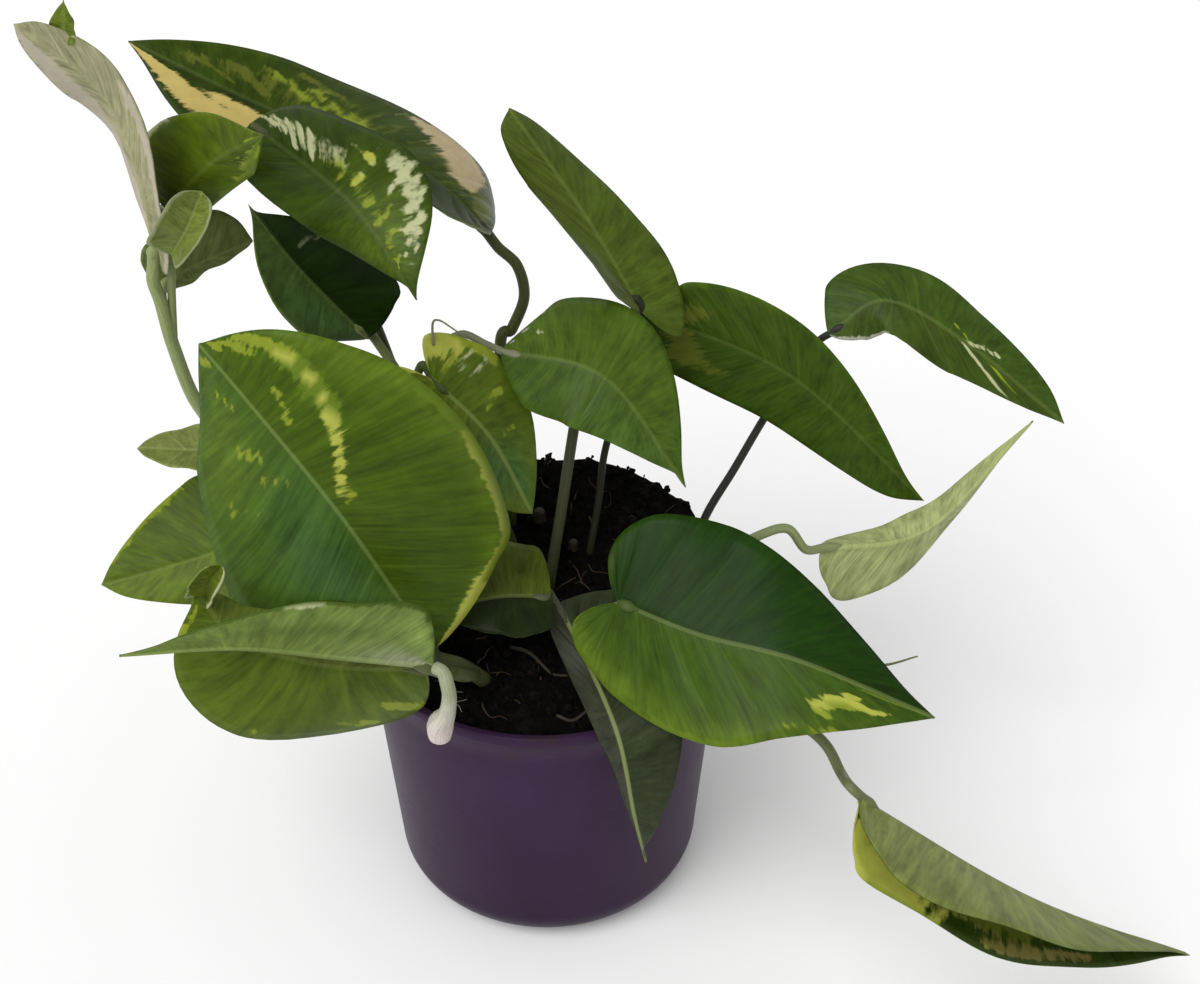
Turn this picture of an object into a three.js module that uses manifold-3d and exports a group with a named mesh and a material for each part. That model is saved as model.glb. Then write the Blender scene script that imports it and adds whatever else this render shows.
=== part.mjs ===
// A pothos plant in a plain round pot: a tapered pot, the root ball of soil that stands
// proud of its rim, the stems and stalks that stand in it, and the leaf blades.
// Millimetres, +Z up, the origin in the middle of the pot's flat base. The front is -Y.
import * as THREE from 'three';
import { mergeVertices } from 'three/addons/utils/BufferGeometryUtils.js';
import Module from 'manifold-3d';

const wasm = await Module();
wasm.setup();

// ---- driving dimensions ----
const POT_HEIGHT = 101;
const RIM_RADIUS = 60;
const FOOT_RADIUS = 52.8;
const FOOT_FILLET = 14;
const WALL = 1.8;
const FLOOR = 2.4;
const LIP_HEIGHT = 4;
const LIP_STEP = 0.8;
const POT_SEGMENTS = 40;
const DRAIN_HOLES = 5;
const DRAIN_RADIUS = 4;
const DRAIN_CIRCLE = 26;

const SOIL_SEGMENTS = 40;
const SOIL_RADIUS = 55.5;
const SOIL_CENTRE_HEIGHT = 116;
const SOIL_FRONT_HEIGHT = 102;
const SOIL_BACK_HEIGHT = 130;
const SOIL_BUMP = 1.1;

const GAP = 0.35;
const BLADE_THICKNESS = 0.7;
const BLADE_ROWS = [0, 0.09, 0.18, 0.27, 0.36, 0.46, 0.56, 0.66, 0.76, 0.86, 0.94, 1];
const BLADE_COLUMNS = [0, 0.5, 1];
const LOBE_SHARE = 0.36;
const ROW_BEND = 1.25;
const BASE_ROUND = 0.03;
const BASE_SWEEP = 0.2;
const FULL_LOBE = 0.06;
const MARGIN_WAVE = 0.9;
const WAVE_COUNT = 2.5;
const STEM_SIDES = 7;
const STALK_APPROACH = 5;
const STALK_REACH = 2.5;
const STALK_DIP = 1.5;
const STALK_GAP = 0.5;
const HOLE_GAP = 0.5;

const COLOURS = {
  pot: 0x3d2b47,
  soil: 0x15100d,
  stem: 0x7c9150,
  shoot: 0xd9cbbd,
  leaf: 0x3f6b1c,
};

// ---- the leaves ----
// midrib: points from the stalk to the tip. up: which way the upper face looks at the base
// and at the tip. Pairs are [left half, right half], seen from above with the tip ahead:
// width in mm, fold and curl in degrees (a fold may be [at the base, at the tip]), lobe as
// the share of the length behind the stalk (below 0, the base tapers instead), belly as where
// the half is widest, and fullness from 0, a drawn-out tip, to 1, a round one.
const LEAVES = {
  front_tall: {
    midrib: [[-32, -48, 127], [-55, -47, 174], [-78, -38, 205], [-95, -26, 221]],
    up: [[0.1, -0.5, 0.7], [-0.3, -0.9, 0.3]],
    width: [49, 45], fold: [[-30, -20], 15], curl: [-10, -28],
    lobe: [-0.05, -0.11], belly: [0.2, 0.31], full: [0.3, 0.31],
  },
  cupped: {
    midrib: [[-30, -68, 138], [-55, -74, 146], [-84, -76, 151], [-119, -72, 145]],
    up: [[-0.1, 0.6, 0.8], [0, 0.5, 0.9]],
    width: [17.5, 19.5], fold: [[80, 45], [60, 35]], curl: [10, 0],
    lobe: [0, 0], belly: [0.24, 0.24], full: [-0.15, -0.1],
  },
  low_front: {
    midrib: [[-33, -58, 127], [-64, -60, 131], [-88, -58, 139], [-100, -52, 153]],
    up: [[0.1, -0.9, 0.3], [0.2, -0.2, 1]],
    width: [31, 14], fold: [-25, 0], curl: [-30, 15],
    lobe: [0.02, 0.02], belly: [0.45, 0.35], full: [0, 0.6],
  },
  left: {
    midrib: [[-75, -17, 153], [-93, -21, 147], [-112, -23, 141], [-137, -25, 134]],
    up: [[0, -0.6, 0.8], [0, -0.7, 0.7]],
    width: [18, 24.5], fold: [0, 10], curl: [-10, -5],
    lobe: [0.08, 0.08], belly: [0.25, 0.43], full: [0.5, 0.3],
  },
  left_small: {
    midrib: [[-90, -12, 175], [-106, -14, 177], [-121, -16, 179]],
    up: [[0, -0.3, 1], [0, -0.3, 0.9]],
    width: [9.5, 9], fold: [10, 10], curl: [0, 0],
    lobe: [0.08, 0.08], belly: [0.25, 0.3], full: [0.7, 0.5],
  },
  top_left: {
    midrib: [[-114, 14, 226], [-114, 10, 255], [-120, 6, 283], [-139, 1, 304]],
    up: [[0.6, 0.7, -0.4], [0.2, 0.7, -0.7]],
    width: [9, 11], fold: [-10, 20], curl: [0, 0],
    lobe: [0.03, 0], belly: [0.55, 0.5], full: [1, 0.6],
  },
  top_back: {
    midrib: [[-16, 47, 220], [-39, 53, 239], [-85, 60, 256], [-127, 65, 276]],
    up: [[-0.2, 0, 1], [-0.5, -0.7, 0.5]],
    width: [33, 33], fold: [25, -20], curl: [35, -15],
    lobe: [0, 0], belly: [0.5, 0.25], full: [0, 0.2],
  },
  top_front: {
    midrib: [[-83, 22, 267], [-54, 10, 247], [-35, -6, 224]],
    up: [[0.3, -0.5, 0.8], [-0.4, -0.9, 0.2]],
    width: [25, 15], fold: [[-15, -5], [-10, 0]], curl: [-20, -30],
    lobe: [0, 0], belly: [0.43, 0.36], full: [0, -0.4],
  },
  upper_left: {
    midrib: [[-111, 20, 241], [-92, 9, 261], [-75, -1, 273]],
    up: [[-0.3, -0.9, 0], [-0.3, -0.9, -0.1]],
    width: [19, 10], fold: [-10, -15], curl: [0, 0],
    lobe: [0.02, 0], belly: [0.18, 0.55], full: [0.1, 0],
  },
  dark_under: {
    midrib: [[-118, 24, 213], [-105, 31, 218], [-90, 37, 222]],
    up: [[0.1, 0.9, 0.3], [0, 0.9, 0.3]],
    width: [5, 18], fold: [0, 0], curl: [0, 0],
    lobe: [0.03, 0.05], belly: [0.3, 0.6], full: [0.8, 1],
  },
  dark_folded: {
    midrib: [[-54, 21, 196], [-72, 15, 223], [-84, 10, 247]],
    up: [[-0.5, -0.5, 0.8], [0.1, -0.7, 0.8]],
    width: [15, 21], fold: [-20, 5], curl: [0, 0],
    lobe: [-0.13, -0.1], belly: [0.2, 0.33], full: [-0.05, -0.3],
  },
  middle: {
    midrib: [[-33, 6, 190], [-16, 3, 171], [-3, -5, 147]],
    up: [[0.1, -0.8, 0.5], [0.4, -0.5, 0.7]],
    width: [19, 20], fold: [5, -10], curl: [0, 0],
    lobe: [0.22, 0.25], belly: [0.16, 0.3], full: [0.25, 0.5],
  },
  centre: {
    midrib: [[-12, 14, 196], [20, 2, 193], [45, -12, 162]],
    up: [[0.1, -0.5, 0.8], [0.3, -0.8, 0.5]],
    width: [30, 19], fold: [-20, [-40, -10]], curl: [0, 15],
    lobe: [-0.14, -0.15], belly: [0.34, 0.44], full: [-0.05, -0.4],
  },
  long_right: {
    midrib: [[31, 42, 195], [81, 35, 174], [126, 18, 136]],
    up: [[-0.4, -0.9, 0.2], [-0.1, -0.6, 0.8]],
    width: [19, 19], fold: [15, -15], curl: [0, 0],
    lobe: [-0.1, -0.05], belly: [0.22, 0.25], full: [-0.15, 0.8],
  },
  upper_right: {
    midrib: [[93, 42, 186], [111, 44, 197], [137, 36, 186], [171, 28, 160]],
    up: [[0.2, -0.5, 0.85], [-0.1, -0.5, 0.9]],
    width: [15, 11.5], fold: [0, -15], curl: [0, 0],
    lobe: [-0.15, -0.15], belly: [0.3, 0.6], full: [0.9, 0.05],
  },
  top_middle: {
    midrib: [[32, 30, 200], [14, 36, 231], [-9, 46, 262]],
    up: [[-0.4, -0.9, 0.3], [0.3, -0.7, 0.6]],
    width: [11, 17], fold: [-35, -35], curl: [-15, -15],
    lobe: [-0.1, 0.18], belly: [0.65, 0.13], full: [1.2, 0.8],
  },
  front_heart: {
    midrib: [[24, -40, 139], [48, -53, 137], [77, -64, 136], [117, -72, 121]],
    up: [[-0.1, -0.9, 0.5], [0, -0.3, 0.9]],
    width: [34, 31], fold: [0, -15], curl: [-5, 10],
    lobe: [0.08, 0.13], belly: [0.3, 0.4], full: [0, 0.1],
  },
  over_soil: {
    midrib: [[3, -27, 131], [-14, -30, 133], [-32, -34, 130]],
    up: [[0, -0.35, 0.95], [0, -0.35, 0.95]],
    width: [14, 22], fold: [0, 0], curl: [-10, -10],
    lobe: [0.02, 0.02], belly: [0.35, 0.35], full: [0.3, 0.3],
  },
  over_rim: {
    midrib: [[5, -24, 126], [15, -40, 114], [24, -65, 107], [29, -71, 80], [33, -67, 55]],
    up: [[0.2, -0.5, 0.85], [-0.3, -0.9, 0.2]],
    width: [23, 7], fold: [[0, -15], [0, -60]], curl: [0, 0],
    lobe: [0, 0], belly: [0.3, 0.4], full: [-0.4, 0],
  },
  right_pale: {
    midrib: [[89, -8, 135], [123, -4, 140], [154, 6, 175]],
    up: [[-0.5, 0.3, -0.8], [-0.2, 1, 0.2]],
    width: [18, 8], fold: [40, 40], curl: [0, 0],
    lobe: [0.02, 0], belly: [0.15, 0.35], full: [0, 0],
  },
  low_right: {
    midrib: [[95, -86, 101], [152, -84, 57], [209, -78, 24]],
    up: [[0.1, -0.8, -0.6], [0.4, -0.9, -0.2]],
    width: [36, 23], fold: [55, 80], curl: [0, 0],
    lobe: [0.03, 0], belly: [0.15, 0.3], full: [0, 0],
  },
};

// ---- the stems ----
// Each node is one or more branches that grow together. A branch that names a leaf ends
// under the base of that leaf's midrib.
const STEMS = {
  vine_left: [
    {
      path: [[-30, 4, 100], [-38, 5, 120], [-70, 9, 146], [-98, 12, 164], [-108, 11, 178],
        [-113, 12, 198], [-115, 13, 213]],
      radius: 2.1, leaf: 'top_left',
    },
    {
      path: [[-113, 12, 198], [-112, 15, 214], [-111, 17, 226]],
      radius: 1.2, leaf: 'upper_left',
    },
    {
      path: [[-112, 12, 192], [-115, 17, 203]],
      radius: 1.2, leaf: 'dark_under', approach: 0,
    },
    {
      path: [[-62, 8, 140], [-73, 6, 159], [-82, -3, 173]],
      radius: 1.4, leaf: 'left_small',
    },
    {
      path: [[-34, 5, 112], [-45, -8, 132], [-60, -17, 150]],
      radius: 1.6, leaf: 'left',
    },
  ],
  vine_front: [
    {
      path: [[-14, -32, 92], [-17, -37, 104], [-24, -44, 117]],
      radius: 2.4, leaf: 'front_tall',
    },
    {
      path: [[-20, -40, 110], [-24, -51, 119]],
      radius: 1.6, leaf: 'low_front',
    },
    {
      path: [[-20, -40, 110], [-21, -54, 122], [-25, -62, 130]],
      radius: 1.6, leaf: 'cupped',
    },
  ],
  stalk_top_back: [
    {
      path: [[-12, 26, 106], [-12, 28, 124], [-14, 37, 182], [-10, 40, 189], [-6, 43, 199],
        [-8, 45, 209]],
      radius: 1.8, leaf: 'top_back',
    },
  ],
  stalk_top_front: [
    {
      path: [[-26, 17, 106], [-28, 18, 124], [-46, 30, 172], [-55, 32, 202], [-66, 25, 238],
        [-79, 22, 256]],
      radius: 1.5, leaf: 'top_front', approach: 0,
    },
  ],
  stalk_dark_folded: [
    {
      path: [[-20, 8, 104], [-22, 9, 120], [-35, 14, 166]],
      radius: 1.5, leaf: 'dark_folded',
    },
  ],
  stalk_middle: [
    {
      path: [[-10, -4, 100], [-14, -3, 116], [-30, 5, 150], [-41, 7, 171]],
      radius: 1.4, leaf: 'middle',
    },
  ],
  stalk_centre: [
    {
      path: [[-8, 12, 104], [-10, 14, 120], [-28, 22, 172], [-31, 23, 190], [-25, 22, 197],
        [-17, 19, 195]],
      radius: 1.2, leaf: 'centre', approach: 0,
    },
  ],
  stalk_long_right: [
    {
      path: [[2, -2, 102], [2, -1, 116], [6, 6, 141], [10, 16, 165], [13, 33, 175],
        [21, 46, 184]],
      radius: 1.7, leaf: 'long_right', approach: 0,
    },
  ],
  stalk_top_middle: [
    {
      path: [[14, 11, 104], [15, 12, 118], [18, 19, 135], [21, 27, 154], [31.5, 37, 179.5]],
      radius: 1.2, leaf: 'top_middle', approach: 0,
    },
  ],
  stalk_upper_right: [
    {
      path: [[50, 22, 106], [54, 26, 123], [64, 33, 139], [73, 39, 154], [83, 42, 172]],
      radius: 1.3, leaf: 'upper_right',
    },
  ],
  stalk_front_heart: [
    {
      path: [[34, -8, 100], [33, -14, 118], [28, -26, 131]],
      radius: 1.7, leaf: 'front_heart', approach: 0,
    },
  ],
  vine_centre: [
    {
      path: [[8, -14, 98], [0, -12, 114], [-5, -20, 125]],
      radius: 1.4, leaf: 'over_soil', approach: 0,
    },
    {
      path: [[8, -14, 98], [7, -15, 112]],
      radius: 1.4, leaf: 'over_rim',
    },
  ],
  vine_right: [
    {
      path: [[36, -22, 94], [44, -31, 106], [56, -42, 110], [72, -52, 108], [86, -62, 103],
        [91, -72, 99]],
      radius: 1.6, leaf: 'low_right',
    },
    {
      path: [[38, -24, 98], [46, -12, 122], [60, -8, 134], [70, -9, 142], [78, -9, 144]],
      radius: 1.5, leaf: 'right_pale',
    },
    {
      path: [[40, -27, 101], [62, -26, 114], [88, -32, 108], [107, -33, 108], [119, -32, 111]],
      radius: 1.1,
    },
  ],
};

const SHOOT_PATH = [
  [-26.5, -70.8, 138], [-25.6, -73.8, 136], [-25.2, -73.5, 130.5], [-26.5, -71, 122],
  [-28.8, -69, 116],
];
const SHOOT_RADIUS = 2.4;
const SHOOT_BULB_RADIUS = 4;
const SHOOT_BULB_STRETCH = 1.6;

// ---- shared helpers ----
const vector = (point) => new THREE.Vector3(...point);
const radians = THREE.MathUtils.degToRad;
const curveThrough = (points) => (
  new THREE.CatmullRomCurve3(points.map(vector), false, 'catmullrom', 0.5)
);

// Turns a closed mesh into a solid that can be joined and cut.
function toSolid(geometry) {
  const bare = geometry.index ? geometry.toNonIndexed() : geometry.clone();
  bare.deleteAttribute('normal');
  bare.deleteAttribute('uv');
  const merged = mergeVertices(bare, 1e-4);
  const kept = [];
  const index = merged.index.array;
  for (let i = 0; i < index.length; i += 3) {
    const [a, b, c] = [index[i], index[i + 1], index[i + 2]];
    if (a !== b && b !== c && a !== c) kept.push(a, b, c);
  }
  return new wasm.Manifold(new wasm.Mesh({
    numProp: 3,
    vertProperties: new Float32Array(merged.attributes.position.array),
    triVerts: new Uint32Array(kept),
  }));
}

function toGeometry(solid) {
  const mesh = solid.getMesh();
  const geometry = new THREE.BufferGeometry();
  geometry.setAttribute('position', new THREE.BufferAttribute(mesh.vertProperties, 3));
  geometry.setIndex(new THREE.BufferAttribute(mesh.triVerts, 1));
  geometry.computeVertexNormals();
  return geometry;
}

function namedMesh(name, geometry, colour, roughness) {
  const material = new THREE.MeshStandardMaterial({ color: colour, roughness, metalness: 0 });
  const mesh = new THREE.Mesh(geometry, material);
  mesh.name = name;
  return mesh;
}

// ---- leaf blades ----
// One half of the blade's outline, from the stalk round the lobe to the tip: x is the share
// of the length, y the share of the half's width.
function halfOutline({ lobe, belly, full }) {
  const ahead = (share) => belly + (1 - belly) * share;
  const between = (pointed, round) => pointed + (round - pointed) * full;
  const swept = Math.max(0, 1 - Math.abs(lobe) / FULL_LOBE) * BASE_SWEEP * belly;
  const shoulder = (behind, y) => {
    const start = -lobe * (lobe < 0 ? y ** 1.5 : behind);
    return [start + BASE_ROUND * y ** 2 + swept * y ** 4, y, 0];
  };
  return curveThrough([
    [0, 0, 0],
    shoulder(0.6, 0.16),
    shoulder(1, 0.4),
    shoulder(0.7, 0.68),
    [lobe < 0 ? belly * 0.1 - lobe * 0.85 : belly * 0.25 - lobe * 0.15, 0.9, 0],
    [belly, 1, 0],
    [ahead(0.25), between(0.93, 0.97), 0],
    [ahead(0.5), between(0.7, 0.88), 0],
    [ahead(0.725), between(0.4, 0.7), 0],
    [ahead(0.89), between(0.14, 0.46), 0],
    [1, 0, 0],
  ]);
}

// The tip's direction, the upper face's normal and the right-hand side at a place on the midrib.
function leafFrame(leaf, share) {
  const step = 1e-3;
  const before = leaf.curve.getPoint(Math.max(share - step, 0));
  const after = leaf.curve.getPoint(Math.min(share + step, 1));
  const forward = after.sub(before).normalize();
  const normal = vector(leaf.up[0]).normalize().lerp(vector(leaf.up[1]).normalize(), share);
  normal.addScaledVector(forward, -normal.dot(forward)).normalize();
  return { forward, normal, side: forward.clone().cross(normal) };
}

// A point of the blade's middle surface and the way the upper face looks there; half is 0 for
// the left half and 1 for the right.
function bladePoint(leaf, half, row, column) {
  const margin = leaf.outlines[half].getPoint(row);
  const ribShare = row < leaf.lobed ? 0 : ((row - leaf.lobed) / (1 - leaf.lobed)) ** ROW_BEND;
  const along = ribShare + (margin.x - ribShare) * column;
  const across = margin.y * column;
  const share = THREE.MathUtils.clamp(along, 0, 1);
  const { forward, normal, side } = leafFrame(leaf, share);
  const fold = leaf.fold[half];
  const foldHere = radians(Array.isArray(fold) ? fold[0] + (fold[1] - fold[0]) * share : fold);
  const curl = radians(leaf.curl[half]);
  let out = across * Math.cos(foldHere);
  let rise = across * Math.sin(foldHere);
  if (curl !== 0) {
    out = (Math.sin(foldHere + curl * across) - Math.sin(foldHere)) / curl;
    rise = (Math.cos(foldHere) - Math.cos(foldHere + curl * across)) / curl;
  }
  const wave = MARGIN_WAVE * across ** 2 * Math.sin(2 * Math.PI * WAVE_COUNT * along + 1.3 * half);
  const width = leaf.width[half];
  const sign = half === 0 ? -1 : 1;
  const point = leaf.curve.getPoint(share)
    .addScaledVector(forward, Math.min(along, 0) * leaf.length)
    .addScaledVector(side, sign * out * width)
    .addScaledVector(normal, rise * width + wave);
  const tilt = foldHere + curl * across;
  const facing = normal.multiplyScalar(Math.cos(tilt))
    .addScaledVector(side, -sign * Math.sin(tilt));
  return { point, facing };
}

// The blade is a sheet of one thickness: the same triangles on both faces, and a rim between.
function bladeGeometry(leaf) {
  const points = [];
  const normals = [];
  const ids = new Map();
  const idOf = ({ point, facing }) => {
    const key = point.toArray().map((value) => Math.round(value * 1e3)).join(',');
    if (!ids.has(key)) {
      ids.set(key, points.length);
      points.push(point);
      normals.push(new THREE.Vector3());
    }
    normals[ids.get(key)].add(facing);
    return ids.get(key);
  };
  const faces = [];
  const addFace = (a, b, c) => {
    if (a !== b && b !== c && a !== c) faces.push([a, b, c]);
  };
  const margins = [];
  for (const half of [0, 1]) {
    const grid = BLADE_ROWS.map((row) => (
      BLADE_COLUMNS.map((column) => idOf(bladePoint(leaf, half, row, column)))
    ));
    for (let row = 0; row + 1 < grid.length; row += 1) {
      for (let column = 0; column + 1 < BLADE_COLUMNS.length; column += 1) {
        const [a, b] = [grid[row][column], grid[row][column + 1]];
        const [d, c] = [grid[row + 1][column], grid[row + 1][column + 1]];
        if (half === 1) {
          addFace(a, b, c);
          addFace(a, c, d);
        } else {
          addFace(a, c, b);
          addFace(a, d, c);
        }
      }
    }
    const margin = grid.map((row) => row[row.length - 1]);
    margins.push(half === 1 ? margin : margin.reverse());
  }
  const positions = [];
  for (const face of [1, -1]) {
    points.forEach((point, i) => {
      const offset = normals[i].clone().normalize().multiplyScalar(face * BLADE_THICKNESS / 2);
      positions.push(...point.clone().add(offset).toArray());
    });
  }
  const count = points.length;
  const index = [];
  for (const [a, b, c] of faces) {
    index.push(a, b, c, a + count, c + count, b + count);
  }
  for (const margin of margins) {
    for (let i = 0; i + 1 < margin.length; i += 1) {
      const [a, b] = [margin[i], margin[i + 1]];
      if (a !== b) index.push(a, a + count, b + count, a, b + count, b);
    }
  }
  const geometry = new THREE.BufferGeometry();
  geometry.setAttribute('position', new THREE.Float32BufferAttribute(positions, 3));
  geometry.setIndex(index);
  return geometry;
}

const leaves = Object.fromEntries(Object.entries(LEAVES).map(([name, leaf]) => {
  const curve = curveThrough(leaf.midrib);
  const outlines = [0, 1].map((half) => halfOutline({
    lobe: leaf.lobe[half], belly: leaf.belly[half], full: leaf.full[half],
  }));
  const lobed = LOBE_SHARE * Math.min(Math.max(0, ...leaf.lobe) / FULL_LOBE, 1);
  return [name, { ...leaf, curve, outlines, lobed, length: curve.getLength() }];
}));

// ---- stems ----
// The last points of a stalk: it runs under the base of the midrib and ends just clear of
// the blade. With no approach it comes straight up from the last point of its path.
function stalkEnd(leaf, { path, radius, approach = STALK_APPROACH }) {
  const { forward, normal } = leafFrame(leaf, 0);
  const base = leaf.curve.getPoint(0);
  const end = base.clone().addScaledVector(forward, STALK_REACH);
  const last = vector(path[path.length - 1]);
  const heading = approach === 0 ? end.clone().sub(last).normalize() : forward;
  const droop = Math.max(0, ...leaf.fold.map((fold) => -(Array.isArray(fold) ? fold[0] : fold)));
  const room = radius * heading.clone().cross(normal).length() / Math.cos(radians(droop));
  const under = BLADE_THICKNESS / 2 + STALK_GAP + room;
  end.addScaledVector(normal, -under);
  if (approach === 0) return [end.toArray()];
  const before = base.clone()
    .addScaledVector(forward, -approach)
    .addScaledVector(normal, -under - STALK_DIP);
  return [before.toArray(), end.toArray()];
}

function tube(points, radius) {
  const curve = curveThrough(points);
  const section = new THREE.Shape();
  for (let i = 0; i < STEM_SIDES; i += 1) {
    const angle = (2 * Math.PI * i) / STEM_SIDES;
    const corner = [radius * Math.cos(angle), radius * Math.sin(angle)];
    if (i === 0) section.moveTo(...corner);
    else section.lineTo(...corner);
  }
  const steps = Math.max(3, Math.round(curve.getLength() / 9));
  return new THREE.ExtrudeGeometry(section, { steps, extrudePath: curve, bevelEnabled: false });
}

function branchPoints(branch) {
  if (!branch.leaf) return branch.path;
  return [...branch.path, ...stalkEnd(leaves[branch.leaf], branch)];
}

function stemSolid(branches) {
  return branches
    .map((branch) => toSolid(tube(branchPoints(branch), branch.radius)))
    .reduce((joined, next) => joined.add(next));
}

// The room that a stem needs: the same branches, fatter, with a ball round each lower end.
function stemRoom(branches) {
  return branches.map((branch) => {
    const radius = branch.radius + HOLE_GAP;
    const ball = new THREE.IcosahedronGeometry(radius + HOLE_GAP / 2, 1);
    ball.translate(...branch.path[0]);
    return toSolid(tube(branchPoints(branch), radius)).add(toSolid(ball));
  }).reduce((joined, next) => joined.add(next));
}

function shootSolid() {
  const root = toSolid(tube(SHOOT_PATH, SHOOT_RADIUS));
  const bulb = new THREE.SphereGeometry(SHOOT_BULB_RADIUS, 10, 8);
  bulb.scale(1, 1, SHOOT_BULB_STRETCH);
  bulb.translate(...SHOOT_PATH[SHOOT_PATH.length - 1]);
  const clear = root.add(toSolid(bulb)).subtract(stemRoom(STEMS.vine_front));
  return clear.decompose().sort((a, b) => b.volume() - a.volume())[0];
}

// ---- pot ----
function potInnerRadius(height) {
  const share = (height - FOOT_FILLET) / (POT_HEIGHT - FOOT_FILLET);
  return FOOT_RADIUS + (RIM_RADIUS - LIP_STEP - FOOT_RADIUS) * share - WALL;
}

function potGeometry() {
  const profile = new THREE.Path();
  const lipBottom = POT_HEIGHT - LIP_HEIGHT;
  profile.moveTo(0, 0);
  profile.lineTo(FOOT_RADIUS - FOOT_FILLET, 0);
  profile.absarc(FOOT_RADIUS - FOOT_FILLET, FOOT_FILLET, FOOT_FILLET, -Math.PI / 2, 0, false);
  profile.lineTo(RIM_RADIUS - LIP_STEP, lipBottom);
  profile.lineTo(RIM_RADIUS, lipBottom + 0.8);
  profile.lineTo(RIM_RADIUS, POT_HEIGHT - 0.8);
  profile.lineTo(RIM_RADIUS - 0.8, POT_HEIGHT);
  profile.lineTo(potInnerRadius(POT_HEIGHT), POT_HEIGHT);
  profile.lineTo(potInnerRadius(FOOT_FILLET), FOOT_FILLET);
  profile.absarc(FOOT_RADIUS - FOOT_FILLET, FOOT_FILLET, FOOT_FILLET - WALL, 0, -Math.PI / 2 * 0.95, true);
  profile.lineTo(FOOT_RADIUS - FOOT_FILLET, FLOOR);
  profile.lineTo(0, FLOOR);
  const turned = new THREE.LatheGeometry(profile.getPoints(5), POT_SEGMENTS);
  turned.rotateX(Math.PI / 2);
  let pot = toSolid(turned);
  for (let i = 0; i < DRAIN_HOLES; i += 1) {
    const angle = (2 * Math.PI * i) / DRAIN_HOLES;
    const hole = new THREE.CylinderGeometry(DRAIN_RADIUS, DRAIN_RADIUS, 4 * FLOOR, 12);
    hole.rotateX(Math.PI / 2);
    hole.translate(DRAIN_CIRCLE * Math.cos(angle), DRAIN_CIRCLE * Math.sin(angle), FLOOR / 2);
    pot = pot.subtract(toSolid(hole));
  }
  return toGeometry(pot);
}

// ---- soil ----
function shoulderHeight(angle) {
  const share = THREE.MathUtils.smoothstep(Math.sin(angle), -0.6, 0.55);
  return SOIL_FRONT_HEIGHT + (SOIL_BACK_HEIGHT - SOIL_FRONT_HEIGHT) * share;
}

function soilHeight(radius, angle) {
  const reach = Math.min(radius / SOIL_RADIUS, 1);
  const plain = SOIL_CENTRE_HEIGHT + (shoulderHeight(angle) - SOIL_CENTRE_HEIGHT) * reach ** 1.6;
  const [x, y] = [radius * Math.cos(angle), radius * Math.sin(angle)];
  const bumps = Math.sin(0.31 * x + 0.8) * Math.cos(0.27 * y) + 0.6 * Math.sin(0.55 * y + 0.24 * x);
  return plain + SOIL_BUMP * bumps * reach;
}

function soilGeometry() {
  const rings = [];
  const addRing = (radiusAt, heightAt) => {
    const ring = [];
    for (let i = 0; i < SOIL_SEGMENTS; i += 1) {
      const angle = (2 * Math.PI * i) / SOIL_SEGMENTS;
      const radius = radiusAt(angle);
      ring.push([radius * Math.cos(angle), radius * Math.sin(angle), heightAt(angle)]);
    }
    rings.push(ring);
  };
  for (const radius of [12, 24, 35, 45, 52]) {
    addRing(() => radius, (angle) => soilHeight(radius, angle));
  }
  addRing(() => SOIL_RADIUS, (angle) => soilHeight(SOIL_RADIUS, angle) - 2);
  addRing(() => potInnerRadius(POT_HEIGHT) - 1, () => POT_HEIGHT - 2);
  addRing(() => potInnerRadius(FOOT_FILLET) - GAP, () => FOOT_FILLET);
  addRing(() => FOOT_RADIUS - FOOT_FILLET / 3 - WALL - 1.5 * GAP, () => FOOT_FILLET / 2);
  addRing(() => FOOT_RADIUS - FOOT_FILLET, () => FLOOR + GAP);
  const points = [[0, 0, SOIL_CENTRE_HEIGHT], ...rings.flat(), [0, 0, FLOOR + GAP]];
  const last = points.length - 1;
  const at = (ring, i) => 1 + ring * SOIL_SEGMENTS + (i % SOIL_SEGMENTS);
  const index = [];
  for (let i = 0; i < SOIL_SEGMENTS; i += 1) {
    index.push(0, at(0, i), at(0, i + 1));
    for (let ring = 0; ring + 1 < rings.length; ring += 1) {
      index.push(at(ring, i), at(ring + 1, i), at(ring + 1, i + 1));
      index.push(at(ring, i), at(ring + 1, i + 1), at(ring, i + 1));
    }
    index.push(last, at(rings.length - 1, i + 1), at(rings.length - 1, i));
  }
  const geometry = new THREE.BufferGeometry();
  geometry.setAttribute('position', new THREE.Float32BufferAttribute(points.flat(), 3));
  geometry.setIndex(index);
  let soil = toSolid(geometry);
  for (const branches of Object.values(STEMS)) {
    soil = soil.subtract(stemRoom(branches));
  }
  return toGeometry(soil);
}

// ---- the plant ----
const plant = new THREE.Group();
plant.add(namedMesh('pot', potGeometry(), COLOURS.pot, 0.5));
plant.add(namedMesh('soil', soilGeometry(), COLOURS.soil, 1));
for (const [name, branches] of Object.entries(STEMS)) {
  plant.add(namedMesh(name, toGeometry(stemSolid(branches)), COLOURS.stem, 0.5));
}
plant.add(namedMesh('pale_shoot', toGeometry(shootSolid()), COLOURS.shoot, 0.5));
for (const [name, leaf] of Object.entries(leaves)) {
  plant.add(namedMesh(`leaf_${name}`, bladeGeometry(leaf), COLOURS.leaf, 0.4));
}

export default plant;
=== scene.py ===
"""The looks of a potted vine with heart-shaped leaves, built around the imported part."""

import math
from collections import namedtuple

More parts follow.
